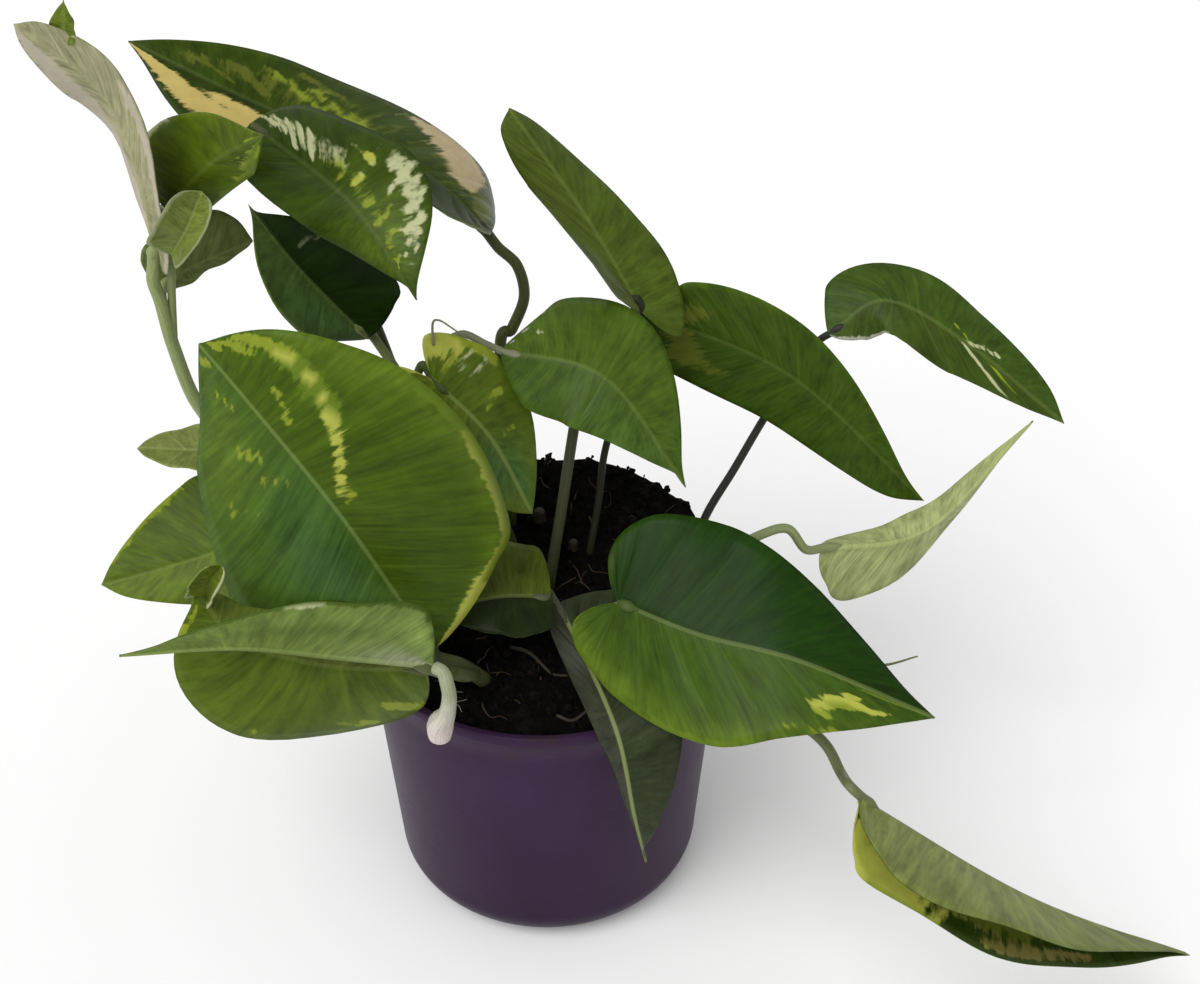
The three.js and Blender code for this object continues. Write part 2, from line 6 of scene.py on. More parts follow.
import bmesh
import bpy
import numpy as np
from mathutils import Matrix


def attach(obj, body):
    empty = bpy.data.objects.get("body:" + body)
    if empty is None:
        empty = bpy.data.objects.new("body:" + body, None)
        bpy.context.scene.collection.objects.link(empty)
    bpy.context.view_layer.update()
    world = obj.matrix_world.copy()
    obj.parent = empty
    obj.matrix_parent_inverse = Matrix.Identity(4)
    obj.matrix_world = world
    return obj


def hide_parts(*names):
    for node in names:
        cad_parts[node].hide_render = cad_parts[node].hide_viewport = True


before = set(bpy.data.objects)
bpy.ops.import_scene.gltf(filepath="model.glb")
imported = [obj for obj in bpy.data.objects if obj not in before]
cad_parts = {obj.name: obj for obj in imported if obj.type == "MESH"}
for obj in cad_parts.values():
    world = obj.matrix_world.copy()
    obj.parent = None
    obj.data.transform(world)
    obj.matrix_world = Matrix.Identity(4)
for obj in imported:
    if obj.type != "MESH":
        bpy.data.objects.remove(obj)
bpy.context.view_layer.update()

MM = 0.001
TURN = 2 * math.pi

# ---- the pot and the soil, in millimetres, as in the solids ----
POT_HEIGHT = 101
RIM_RADIUS = 60
FOOT_RADIUS = 52.8
FOOT_FILLET = 14
WALL = 1.8
FLOOR = 2.4
LIP_HEIGHT = 4
LIP_STEP = 0.8
EDGE_ROUND = 0.5
DRAIN_HOLES = 5
DRAIN_RADIUS = 4
DRAIN_CIRCLE = 26
DRAIN_SIDES = 32
POT_SEGMENTS = 144
SOIL_RADIUS = 55.5
SOIL_CENTRE_HEIGHT = 116
SOIL_FRONT_HEIGHT = 102
SOIL_BACK_HEIGHT = 130
SOIL_BUMP = 1.1
SOIL_RINGS = 64
SOIL_SEGMENTS = 160
SOIL_GAP = 0.35
SOIL_EDGE_DROP = 2
# Uneven ground as (size of the lumps, their height).
LUMPS = ((14, 0.8), (8, 0.6), (4.5, 0.5), (2.6, 0.35))
WAVES_PER_LUMP = 6
CRUMBS = 620
CRUMB_SIZES = (0.5, 1.9)
CRUMB_ROUGHNESS = 0.22
FIBRES = 70
FIBRE_STEPS = 5
FIBRE_LENGTHS = (4, 15)
FIBRE_RADII = (0.14, 0.34)

# ---- the leaf blades, lengths in millimetres ----
BLADE_THICKNESS = 0.6
MARGIN_THICKNESS = 0.35
LOBE_SHARE = 0.36
ROW_BEND = 1.25
MARGIN_WAVE = 0.9
WAVE_COUNT = 2.5
BASE_ROUND = 0.03
BASE_SWEEP = 0.2
FULL_LOBE = 0.06
VEIN_SPACING = 11
VEIN_COUNTS = (4, 10)
ROWS_PER_VEIN = 8
BLADE_COLUMNS = 13
COLUMN_BEND = 1.35
QUILT_DEPTH = 0.0045
QUILT_START = 6
RIDGE_RADIUS = 1.1
FULL_RIDGE_LENGTH = 90
GROOVE_DEPTH = 0.35
GROOVE_WIDTH = 0.7
# Painted sheen: how much lighter the upper face is made along its margin.
MARGIN_PAINTED_SHEEN = 0.25
# How far the midrib pales on the under face: its own paler colour and a painted sheen.
UNDER_RIB = 0.35
COLUMN_SCALE = 0.4

# ---- the stems, lengths in millimetres ----
STALK_APPROACH = 5
STALK_DIP = 1.5
STALK_SINK = 7
KNUCKLE_PLACE = 9
KNUCKLE_LENGTH = 3.5
KNUCKLE_SWELL = 0.16
STEM_SIDES = 14
STEM_STEP = 1.5
STEM_FOOT = np.array((0.03, 0.02, 0.012))
STEM_FOOT_SHARE = 0.35
STEM_FOOT_HEIGHTS = (135, 105)
PALE_TOP = np.array((0.19, 0.20, 0.12))
PALE_TOP_HEIGHTS = (184, 194)
SHOOT_RADIUS = 2.5
SHOOT_BULB_RADIUS = 4.1
SHOOT_BULB_LENGTH = 6.5
SHOOT_SIDES = 18
THIN_SIDES = 8
THIN_STEP = 0.8
SHOOT_PALE = np.array((0.42, 0.42, 0.33))
SHOOT_TIP = np.array((0.62, 0.52, 0.50))
SHOOT_TIP_HEIGHTS = (126, 108)
SHOOT_GREEN = np.array((0.30, 0.33, 0.20))
SHOOT_GREEN_HEIGHTS = (126, 134)
ROOT_COLOUR = (0.032, 0.025, 0.016)
FIBRE_COLOUR = (0.05, 0.030, 0.014)

# ---- the noises of the materials, as (scale, detail, roughness), and their stretches ----
LEAF_MOTTLE = (240.0, 4.0, 0.62)
LEAF_CLOUD = (70.0, 3.0, 0.6)
LEAF_STREAK = (2.0, 3.0, 0.6)
LEAF_BAND = (1.6, 3.0, 0.55)
LEAF_FINE = (1.5, 2.0)
STREAK_STRETCH = (4.2, 1.3, 90.0)
BAND_STRETCH = (2.4, 0.9, 30.0)
FINE_STRETCH = (9.0, 2.2, 50.0)
STEM_RIBS = (1.6, 3.0)
STEM_SPOTS = (2.5, 4.0, 0.65)
RIB_STRETCH = (7.0, 40.0, 1.0)
SPOT_STRETCH = (1.0, 260.0, 1.0)
SOIL_GRAINS = (420.0, 6.0, 0.7)
SOIL_LUMPS = (110.0, 4.0, 0.6)
POT_CLOUD = (26.0, 4.0, 0.6)
POT_GRAIN = (900.0, 3.0, 0.6)
POT_SCUFF = (1.0, 4.0, 0.7)
POT_STAIN = (85.0, 5.0, 0.7)
SCUFF_STRETCH = (60.0, 60.0, 420.0)
MIDDLE_OF_NOISE = (0.3, 0.7)
MOST_OF_NOISE = (0.25, 0.75)
# A patch is torn along the veins by the streaks and frayed by the mottle; its strength has to
# pass PATCH_EDGE to show.
PATCH_TEAR = 1.3
PATCH_FRAY = 0.6
PATCH_EDGE = (0.32, 0.70)
# Half the width of the pale midrib (its own paler colour with a painted sheen along it), from where it
# begins to where it is full, in metres.
RIB_EDGE = (0.0009, 0.0003)

# ---- the studio ----
FLOOR_HALF = 4.0
SKY_STRENGTH = 0.62
KEY_STRENGTH = 2.0
KEY_SPREAD = 50
KEY_TURN = (32, -28, 0)
CAMERA_PLACE = (0.0185, -0.45271, 0.46431)
CAMERA_TILT = 55.4
CAMERA_LENS = 51.9

# ---- the colours of the blades, in thousandths of linear light ----
CREAM = (410, 430, 230)
BEIGE = (520, 410, 130)
PINK = (460, 370, 200)
YELLOW = (200, 250, 20)
GOLD = (360, 380, 60)
OLIVE = (95, 115, 12)
TEAL = (45, 110, 30)
LIME = (105, 165, 12)
GREY = (340, 350, 260)
TAN = (170, 150, 40)
SHEEN = (100, 120, 60)
DEEP = (60, 100, 12)
ASH = (420, 380, 290)
RIM = (240, 270, 130)
PLAIN_UNDER = (160, 200, 70)
PALE_UNDER = (200, 260, 90)

# ---- the blades ----
# midrib: points from the stalk to the tip. up: which way the upper face looks at the base
# and at the tip. halves: the left half and the right half, seen from above with the tip
# ahead, each as its width in mm, its fold and its curl in degrees (a fold may be [at the
# base, at the tip]), its lobe as the share of the length behind the stalk, its belly as
# where it is widest, and its fullness from 0, a drawn-out tip, to 1, a round one. colours:
# the upper face's left half and right half, the under face, and how far the midrib pales
# (its own paler colour and a painted sheen along it).
Leaf = namedtuple("Leaf", "midrib up halves colours")
LEAVES = {
    "front_tall": Leaf(
        [(-32, -48, 127), (-55, -47, 174), (-78, -38, 205), (-95, -26, 221)],
        [(0.1, -0.5, 0.7), (-0.3, -0.9, 0.3)],
        [(49, [-30, -20], -10, -0.05, 0.2, 0.3), (45, 15, -28, -0.11, 0.31, 0.31)],
        ((45, 91, 7), (44, 84, 3), PALE_UNDER, 0.4)),
    "cupped": Leaf(
        [(-30, -68, 138), (-55, -74, 146), (-84, -76, 151), (-119, -72, 145)],
        [(-0.1, 0.6, 0.8), (0, 0.5, 0.9)],
        [(17.5, [80, 45], 10, 0, 0.24, -0.15), (19.5, [60, 35], 0, 0, 0.24, -0.1)],
        ((50, 80, 10), (50, 80, 10), (108, 155, 31), 0.3)),
    "low_front": Leaf(
        [(-33, -58, 127), (-64, -60, 131), (-88, -58, 139), (-100, -52, 153)],
        [(0.1, -0.9, 0.3), (0.2, -0.2, 1)],
        [(31, -25, -30, 0.02, 0.45, 0), (14, 0, 15, 0.02, 0.35, 0.6)],
        ((67, 103, 7), (85, 115, 15), PALE_UNDER, 0.2)),
    "left": Leaf(
        [(-75, -17, 153), (-93, -21, 147), (-112, -23, 141), (-137, -25, 134)],
        [(0, -0.6, 0.8), (0, -0.7, 0.7)],
        [(18, 0, -10, 0.08, 0.25, 0.5), (24.5, 10, -5, 0.08, 0.43, 0.3)],
        ((85, 129, 9), (64, 104, 6), PALE_UNDER, 0.2)),
    "left_small": Leaf(
        [(-90, -12, 175), (-106, -14, 177), (-121, -16, 179)],
        [(0, -0.3, 1), (0, -0.3, 0.9)],
        [(9.5, 10, 0, 0.08, 0.25, 0.7), (9, 10, 0, 0.08, 0.3, 0.5)],
        ((155, 192, 45), (169, 201, 54), PALE_UNDER, 0.4)),
    "top_left": Leaf(
        [(-114, 14, 226), (-114, 10, 255), (-120, 6, 283), (-139, 1, 304)],
        [(0.6, 0.7, -0.4), (0.2, 0.7, -0.7)],
        [(9, -10, 0, 0.03, 0.55, 1), (11, 20, 0, 0, 0.5, 0.6)],
        ((60, 90, 12), (60, 90, 12), (288, 286, 160), 0.3)),
    "top_back": Leaf(
        [(-16, 47, 220), (-39, 53, 239), (-85, 60, 256), (-127, 65, 276)],
        [(-0.2, 0, 1), (-0.5, -0.7, 0.5)],
        [(33, 25, 35, 0, 0.5, 0), (33, -20, -15, 0, 0.25, 0.2)],
        ((20, 36, 2), (30, 54, 2), PLAIN_UNDER, 0.15)),
    "top_front": Leaf(
        [(-83, 22, 267), (-54, 10, 247), (-35, -6, 224)],
        [(0.3, -0.5, 0.8), (-0.4, -0.9, 0.2)],
        [(25, [-15, -5], -20, 0, 0.43, 0), (15, [-10, 0], -30, 0, 0.36, -0.4)],
        ((26, 49, 2), (27, 52, 2), PLAIN_UNDER, 0.12)),
    "upper_left": Leaf(
        [(-111, 20, 241), (-92, 9, 261), (-75, -1, 273)],
        [(-0.3, -0.9, 0), (-0.3, -0.9, -0.1)],
        [(19, -10, 0, 0.02, 0.18, 0.1), (10, -15, 0, 0, 0.55, 0)],
        ((67, 103, 5), (60, 94, 3), PLAIN_UNDER, 0.15)),
    "dark_under": Leaf(
        [(-118, 24, 213), (-105, 31, 218), (-90, 37, 222)],
        [(0.1, 0.9, 0.3), (0, 0.9, 0.3)],
        [(5, 0, 0, 0.03, 0.3, 0.8), (18, 0, 0, 0.05, 0.6, 1)],
        ((30, 50, 10), (30, 50, 10), (150, 189, 57), 0.3)),
    # The right half's near-black colour is painted shade: that folded half lies in shadow.
    "dark_folded": Leaf(
        [(-54, 21, 196), (-72, 15, 223), (-84, 10, 247)],
        [(-0.5, -0.5, 0.8), (0.1, -0.7, 0.8)],
        [(15, -20, 0, -0.13, 0.2, -0.05), (21, 5, 0, -0.1, 0.33, -0.3)],
        ((42, 71, 15), (6, 19, 1), (100, 130, 50), 0.1)),
    "middle": Leaf(
        [(-33, 6, 190), (-16, 3, 171), (-3, -5, 147)],
        [(0.1, -0.8, 0.5), (0.4, -0.5, 0.7)],
        [(19, 5, 0, 0.22, 0.16, 0.25), (20, -10, 0, 0.25, 0.3, 0.5)],
        ((74, 115, 8), (88, 118, 9), PLAIN_UNDER, 0.5)),
    "centre": Leaf(
        [(-12, 14, 196), (20, 2, 193), (45, -12, 162)],
        [(0.1, -0.5, 0.8), (0.3, -0.8, 0.5)],
        [(30, -20, 0, -0.14, 0.34, -0.05), (19, [-40, -10], 15, -0.15, 0.44, -0.4)],
        ((54, 98, 8), (48, 91, 11), PLAIN_UNDER, 0.16)),
    "long_right": Leaf(
        [(31, 42, 195), (81, 35, 174), (126, 18, 136)],
        [(-0.4, -0.9, 0.2), (-0.1, -0.6, 0.8)],
        [(19, 15, 0, -0.1, 0.22, -0.15), (19, -15, 0, -0.05, 0.25, 0.8)],
        ((36, 69, 4), (32, 63, 4), PLAIN_UNDER, 0.12)),
    "upper_right": Leaf(
        [(93, 42, 186), (111, 44, 197), (137, 36, 186), (171, 28, 160)],
        [(0.2, -0.5, 0.85), (-0.1, -0.5, 0.9)],
        [(15, 0, 0, -0.15, 0.3, 0.9), (11.5, -15, 0, -0.15, 0.6, 0.05)],
        ((37, 70, 7), (37, 64, 6), (150, 160, 100), 0.2)),
    "top_middle": Leaf(
        [(32, 30, 200), (14, 36, 231), (-9, 46, 262)],
        [(-0.4, -0.9, 0.3), (0.3, -0.7, 0.6)],
        [(11, -35, -15, -0.1, 0.65, 1.2), (17, -35, -15, 0.18, 0.13, 0.8)],
        ((67, 95, 12), (56, 89, 8), PLAIN_UNDER, 0.15)),
    "front_heart": Leaf(
        [(24, -40, 139), (48, -53, 137), (77, -64, 136), (117, -72, 121)],
        [(-0.1, -0.9, 0.5), (0, -0.3, 0.9)],
        [(34, 0, -5, 0.08, 0.3, 0), (31, -15, 10, 0.13, 0.4, 0.1)],
        ((9, 31, 1), (36, 73, 5), PLAIN_UNDER, 0.42)),
    # The left half's near-black colour is painted shade: the blade lies in shadow under the leaves
    # above.
    "over_soil": Leaf(
        [(3, -27, 131), (-14, -30, 133), (-32, -34, 130)],
        [(0, -0.35, 0.95), (0, -0.35, 0.95)],
        [(14, 0, -10, 0.02, 0.35, 0.3), (22, 0, -10, 0.02, 0.35, 0.3)],
        ((9, 16, 2), (55, 76, 7), (120, 150, 50), 0.4)),
    "over_rim": Leaf(
        [(5, -24, 126), (15, -40, 114), (24, -65, 107), (29, -71, 80), (33, -67, 55)],
        [(0.2, -0.5, 0.85), (-0.3, -0.9, 0.2)],
        [(23, [0, -15], 0, 0, 0.3, -0.4), (7, [0, -60], 0, 0, 0.4, 0)],
        ((24, 33, 13), (32, 36, 20), (120, 150, 60), 0.85)),
    "right_pale": Leaf(
        [(89, -8, 135), (123, -4, 140), (154, 6, 175)],
        [(-0.5, 0.3, -0.8), (-0.2, 1, 0.2)],
        [(18, 40, 0, 0.02, 0.15, 0), (8, 40, 0, 0, 0.35, 0)],
        ((50, 80, 12), (50, 80, 12), (296, 334, 135), 0.3)),
    "low_right": Leaf(
        [(95, -86, 101), (152, -84, 57), (209, -78, 24)],
        [(0.1, -0.8, -0.6), (0.4, -0.9, -0.2)],
        [(36, 55, 0, 0.03, 0.15, 0), (23, 80, 0, 0, 0.3, 0)],
        ((22, 38, 3), (22, 38, 3), (192, 225, 59), 0.3)),
    "lobe_top_left": Leaf(
        [(-108.2, 7.6, 231.7), (-101.7, 4.6, 241.7), (-96.2, 6.6, 252.7)],
        [(0, -0.8, 0.5), (0.2, -0.8, 0.5)],
        [(9.5, 25, 30, 0, 0.62, 1.2), (7.5, 25, 30, 0, 0.66, 1.2)],
        ((150, 190, 45), (130, 170, 30), (190, 220, 80), 0.4)),
    "tip_top_left": Leaf(
        [(-127.5, 4.7, 296.8), (-127.2, 5.8, 302.4), (-126, 6, 309)],
        [(0, -0.8, 0.5), (0, -0.8, 0.5)],
        [(3.6, 0, 0, 0, 0.4, -0.2), (3.2, 0, 0, 0, 0.4, -0.2)],
        ((100, 140, 12), (100, 140, 12), PLAIN_UNDER, 0.2)),
    "curl_low_front": Leaf(
        [(-97, -52, 150.5), (-94, -55.5, 159), (-90.4, -54.4, 164)],
        [(-0.2, -0.8, 0.5), (0, -0.9, 0.2)],
        [(7, 35, 40, 0, 0.45, 1.1), (5, 35, 20, 0, 0.45, 0.9)],
        ((120, 160, 14), (100, 140, 12), PALE_UNDER, 0.2)),
}
# Small curled ends of blades, which the solids leave out.
CURLS = ("lobe_top_left", "tip_top_left", "curl_low_front")

# ---- the patches and the shades on the blades ----
# Patches that the veins tear into streaks: a half of the blade, a colour, and streaks. Each
# streak has the row and column where it starts and where it ends, in hundredths, its
# half-width in thousandths of the rows, and its strength in hundredths.
# Most are the blades' own streaks; the SHEEN ones are painted sheen, and one cream streak on centre is
# a painted highlight.
LEAF_MARKS = {
    "front_tall": [
        (1, YELLOW, (87, 88, 78, 74, 34, 100), (93, 80, 84, 60, 36, 85), (96, 85, 92, 50, 26, 90),
         (75, 34, 66, 14, 12, 70), (50, 20, 46, 10, 7, 80)),
        (1, GOLD, (78, 74, 69, 54, 24, 100), (69, 54, 60, 34, 18, 100), (60, 34, 49, 10, 12, 95),
         (6, 92, 24, 96, 50, 115)),
        (1, LIME, (74, 66, 66, 46, 40, 90), (26, 100, 60, 100, 6, 150)),
        (0, YELLOW, (96, 80, 93, 20, 20, 85), (71, 45, 65, 22, 12, 85), (62, 30, 58, 16, 10, 80),
         (64, 72, 59, 50, 10, 75), (85, 42, 77, 20, 12, 75))],
    "cupped": [
        (0, CREAM, (66, 92, 60, 88, 10, 60)),
        (0, DEEP, (34, 100, 80, 100, 36, 100))],
    "low_front": [
        (0, YELLOW, (28, 96, 36, 62, 30, 95), (80, 98, 90, 70, 35, 80), (40, 96, 44, 80, 12, 80),
         (52, 97, 55, 84, 12, 80))],
    "left": [
        (0, LIME, (20, 90, 50, 100, 20, 80)),
        (1, YELLOW, (60, 100, 90, 100, 12, 90))],
    "top_back": [
        (0, BEIGE, (95, 70, 86, 66, 90, 130), (86, 66, 74, 56, 85, 135), (76, 30, 70, 30, 60, 110)),
        (1, PINK, (52, 90, 47, 70, 56, 135), (47, 70, 37, 40, 60, 135)),
        (1, YELLOW, (74, 66, 66, 30, 18, 72), (68, 60, 60, 20, 18, 72), (62, 44, 55, 10, 16, 72)),
        (1, OLIVE, (84, 50, 60, 34, 120, 50), (46, 40, 30, 20, 80, 45), (80, 60, 74, 20, 20, 95),
         (86, 50, 80, 20, 14, 90), (70, 80, 64, 60, 14, 90), (24, 60, 16, 40, 110, 95))],
    "top_front": [
        (0, CREAM, (20, 62, 42, 36, 90, 46), (58, 80, 76, 66, 90, 52), (13, 96, 20, 56, 20, 95),
         (20, 90, 26, 40, 13, 100), (27, 66, 30, 16, 13, 105), (33, 60, 34, 20, 8, 95),
         (38, 54, 38, 12, 13, 105), (43, 56, 43, 24, 8, 95), (53, 94, 55, 66, 12, 105),
         (57, 92, 60, 44, 11, 105), (61, 90, 64, 50, 10, 100), (65, 94, 68, 54, 11, 105),
         (70, 90, 73, 52, 10, 100), (75, 86, 78, 46, 9, 95), (79, 80, 82, 40, 8, 90)),
        (0, YELLOW, (46, 20, 80, 20, 70, 40), (46, 36, 47, 8, 8, 100), (59, 36, 61, 10, 8, 95),
         (65, 40, 69, 10, 8, 95), (72, 40, 76, 12, 7, 90), (80, 38, 86, 14, 9, 90)),
        (0, GOLD, (49, 63, 49.5, 54, 17, 140), (51, 44, 53, 10, 8, 95))],
    "upper_left": [
        (1, YELLOW, (86, 60, 55, 80, 110, 46), (84, 86, 60, 98, 22, 100), (74, 60, 60, 72, 14, 85),
         (78, 50, 66, 30, 12, 75)),
        (1, LIME, (90, 70, 62, 90, 60, 120), (62, 92, 40, 100, 40, 110)),
        (0, YELLOW, (96, 40, 88, 16, 26, 90)),
        (0, CREAM, (48, 100, 60, 96, 22, 90))],
    "dark_folded": [
        (1, SHEEN, (64, 80, 68, 30, 18, 80)),
        (0, LIME, (30, 100, 80, 100, 10, 90))],
    "middle": [
        (0, GOLD, (8, 85, 26, 85, 150, 125)),
        (0, YELLOW, (30, 95, 50, 95, 50, 105), (37, 60, 38, 24, 16, 95), (60, 70, 62, 30, 12, 80),
         (70, 60, 72, 30, 10, 75)),
        (1, GOLD, (5, 86, 26, 85, 150, 125)),
        (1, YELLOW, (30, 95, 50, 95, 50, 105), (36, 60, 40, 20, 16, 90)),
        (0, CREAM, (43, 84, 44, 40, 14, 85), (50, 76, 51, 34, 12, 80))],
    "centre": [
        # This cream streak is a painted highlight.
        (0, CREAM, (26, 66, 28, 54, 12, 120)),
        (0, GREY, (4, 70, 30, 100, 14, 80))],
    "long_right": [
        (0, OLIVE, (16, 20, 32, 50, 70, 85)),
        (1, OLIVE, (20, 20, 42, 60, 80, 85))],
    "upper_right": [
        (1, CREAM, (70, 6, 75, 96, 10, 115)),
        (0, CREAM, (73, 2, 80, 34, 10, 115)),
        (1, YELLOW, (78, 20, 81, 70, 12, 90)),
        (1, GREY, (4, 94, 42, 100, 34, 120)),
        (0, YELLOW, (66, 30, 72, 10, 8, 80))],
    "front_heart": [
        (1, GOLD, (79, 66, 86, 50, 18, 135), (84, 66, 88, 80, 18, 120)),
        (1, YELLOW, (80, 66, 86, 72, 24, 100), (72, 92, 77, 98, 18, 100), (77, 74, 79, 86, 9, 90)),
        (1, CREAM, (67, 60, 67, 66, 8, 110)),
        (1, LIME, (90, 20, 98, 40, 20, 90), (10, 100, 60, 100, 12, 100))],
    "over_rim": [
        (0, SHEEN, (34, 34, 80, 34, 12, 75), (40, 66, 80, 62, 12, 75)),
        (0, (220, 220, 100), (92, 10, 98, 60, 30, 100))],
    "low_right": [
        (1, GOLD, (6, 80, 34, 84, 140, 125)),
        (1, YELLOW, (34, 90, 44, 98, 50, 105)),
        (1, TAN, (56, 86, 70, 82, 36, 95)),
        (1, OLIVE, (46, 60, 60, 60, 50, 80))],
    "top_left": [
        (1, ASH, (30, 80, 95, 70, 110, 110)),
        (0, ASH, (30, 90, 60, 80, 60, 100))],
    "lobe_top_left": [
        (0, RIM, (10, 100, 90, 100, 50, 120)),
        (1, RIM, (10, 100, 90, 100, 50, 120))],
    "curl_low_front": [
        (1, CREAM, (10, 100, 90, 100, 80, 130))],
}
# Soft changes of a face's colour: a half of the blade, the row and column of the middle, the
# reach along rows and columns, a colour and a strength; all but the colour in hundredths.
LEAF_SHADES = {
    "cupped": [(0, 30, 70, 24, 30, (190, 270, 70), 75), (0, 12, 15, 22, 22, GREY, 60),
        (0, 60, 45, 25, 14, (70, 110, 20), 70), (1, 20, 20, 40, 40, GREY, 40)],
    "low_right": [(0, 30, 95, 50, 20, (130, 160, 40), 60), (0, 90, 50, 20, 80, (140, 170, 50), 60)],
    "front_tall": [(0, 45, 28, 16, 30, TEAL, 65), (1, 42, 98, 30, 16, LIME, 75),
        (1, 68, 95, 12, 25, LIME, 60), (1, 50, 10, 30, 16, (50, 80, 5), 50),
        (0, 72, 55, 14, 35, LIME, 45)],
    "top_front": [(0, 75, 40, 20, 50, LIME, 45), (1, 75, 50, 15, 50, LIME, 40)],
    "middle": [(0, 86, 35, 12, 45, TEAL, 75), (1, 80, 35, 15, 50, TEAL, 75)],
    "dark_folded": [(0, 42, 50, 20, 35, TEAL, 65)],
    "front_heart": [(1, 34, 95, 18, 25, LIME, 60), (1, 60, 98, 22, 14, LIME, 55),
        (0, 12, 90, 12, 25, LIME, 30)],
    "centre": [(0, 20, 60, 14, 40, LIME, 40)],
}
# Blades whose shades lie on the under face.
SHADED_BELOW = ("cupped", "low_right")

# ---- the stems ----
# Each stem has its colour and its branches, and each branch its radius, the leaf that it
# carries and its path in millimetres.
STEMS = {
    "vine_left": ((240, 290, 115), [
        (2.1, "top_left", [(-30, 4, 100), (-38, 5, 120), (-70, 9, 146), (-98, 12, 164), (-108, 11, 178),
         (-113, 12, 198), (-115, 13, 213)]),
        (1.2, "upper_left", [(-113, 12, 198), (-112, 15, 214), (-111, 17, 226)]),
        (1.2, "dark_under", [(-112, 12, 192), (-115, 17, 203)]),
        (1.4, "left_small", [(-62, 8, 140), (-73, 6, 159), (-82, -3, 173)]),
        (1.6, "left", [(-34, 5, 112), (-45, -8, 132), (-60, -17, 150)])]),
    "vine_front": ((75, 95, 30), [
        (2.4, "front_tall", [(-14, -32, 92), (-17, -37, 104), (-24, -44, 117)]),
        (1.6, "low_front", [(-20, -40, 110), (-24, -51, 119)]),
        (1.6, "cupped", [(-20, -40, 110), (-21, -54, 122), (-25, -62, 130)])]),
    "stalk_top_back": ((48, 58, 14), [
        (1.8, "top_back", [(-12, 26, 106), (-12, 28, 124), (-14, 37, 182), (-10, 40, 189),
         (-6, 43, 199), (-8, 45, 209)])]),
    "stalk_top_front": ((60, 75, 20), [
        (1.5, "top_front", [(-26, 17, 106), (-28, 18, 124), (-46, 30, 172), (-55, 32, 202),
         (-66, 25, 238), (-79, 22, 256)])]),
    "stalk_dark_folded": ((110, 135, 45), [
        (1.5, "dark_folded", [(-20, 8, 104), (-22, 9, 120), (-35, 14, 166)])]),
    "stalk_middle": ((50, 70, 18), [
        (1.4, "middle", [(-10, -4, 100), (-14, -3, 116), (-30, 5, 150), (-41, 7, 171)])]),
    "stalk_centre": ((60, 70, 25), [
        (1.2, "centre", [(-8, 12, 104), (-10, 14, 120), (-28, 22, 172), (-31, 23, 190), (-25, 22, 197),
         (-17, 19, 195)])]),
    "stalk_long_right": ((50, 57, 22), [
        (1.7, "long_right", [(2, -2, 102), (2, -1, 116), (6, 6, 141), (10, 16, 165), (13, 33, 175),
         (21, 46, 184)])]),
    "stalk_top_middle": ((16, 18, 6), [
        (1.2, "top_middle", [(14, 11, 104), (15, 12, 118), (18, 19, 135), (21, 27, 154),
         (31.5, 37, 179.5)])]),
    "stalk_upper_right": ((22, 22, 18), [
        (1.3, "upper_right", [(50, 22, 106), (54, 26, 123), (64, 33, 139), (73, 39, 154),
         (83, 42, 172)])]),
    "stalk_front_heart": ((60, 90, 20), [
        (1.7, "front_heart", [(34, -8, 100), (33, -14, 118), (28, -26, 131)])]),
    "vine_centre": ((70, 80, 40), [
        (1.4, "over_soil", [(8, -14, 98), (0, -12, 114), (-5, -20, 125)]),
        (1.4, "over_rim", [(8, -14, 98), (7, -15, 112)])]),
    "vine_right": ((200, 235, 100), [
        (1.6, "low_right", [(36, -22, 94), (44, -31, 106), (56, -42, 110), (72, -52, 108),
         (86, -62, 103), (91, -72, 99)]),
        (1.5, "right_pale", [(38, -24, 98), (46, -12, 122), (60, -8, 134), (70, -9, 142),
         (78, -9, 144)]),
        (1.1, None, [(40, -27, 101), (62, -26, 114), (88, -32, 108), (107, -33, 108),
         (119, -32, 111)])]),
}
# Leaves whose stalk runs straight in, without a bend below the base.
STRAIGHT_IN = ("dark_under", "top_front", "centre", "long_right", "top_middle", "front_heart",
               "over_soil")
# Stems that pale towards their tops, between the heights in PALE_TOP_HEIGHTS.
PALE_TOPS = ("stalk_centre",)
# The pale new shoot hangs over the rim and ends in a blunt bulb.
SHOOT_PATH = [(-29.5, -69.6, 138.6), (-26.8, -71.4, 138), (-25.6, -73.8, 136), (-25.2, -73.5, 130.5),
    (-26.5, -71, 122), (-28.8, -69, 116), (-29.5, -68.2, 109.5)]
# Loose thin bits: name, radius, colour and paths.
BITS = [
    ("wire_middle", 0.42, (220, 220, 150), [
        [(-32.6, 9.4, 200.2), (-32.4, 9.7, 207.6), (-30.3, 9.3, 208.9), (-26.6, 8.8, 206.6),
         (-22.5, 12.1, 201.1)]]),
    ("root_hairs", 0.22, (160, 150, 110), [
        [(-26.5, -71, 128), (-24.7, -70.5, 129.7), (-21.5, -70, 129.3)],
        [(-26, -71, 126.2), (-23.2, -70.5, 124.7), (-22.2, -70, 121.5)],
        [(-26.2, -71, 124), (-24.6, -70.5, 125.4), (-20.5, -70, 126.5)]]),
]
# Surface roots as (x, y) paths, and the stubs of old stalks as (x, y, radius).
SURFACE_ROOTS = [
    [(-10, -28), (-3.6, -32), (3.5, -37), (9.7, -39), (16, -37), (19, -33)],
    [(5, -51), (10, -52.5), (15, -50.5)],
    [(-24, 6), (-17, 9), (-9, 6)],
]
STUBS = [(-2.3, 28, 2.4), (9.4, 16, 2), (-13, 34, 1.8)]


# ---- curves and vectors ----
def unit(vectors):
    vectors = np.asarray(vectors, float)
    return vectors / np.linalg.norm(vectors, axis=-1, keepdims=True)


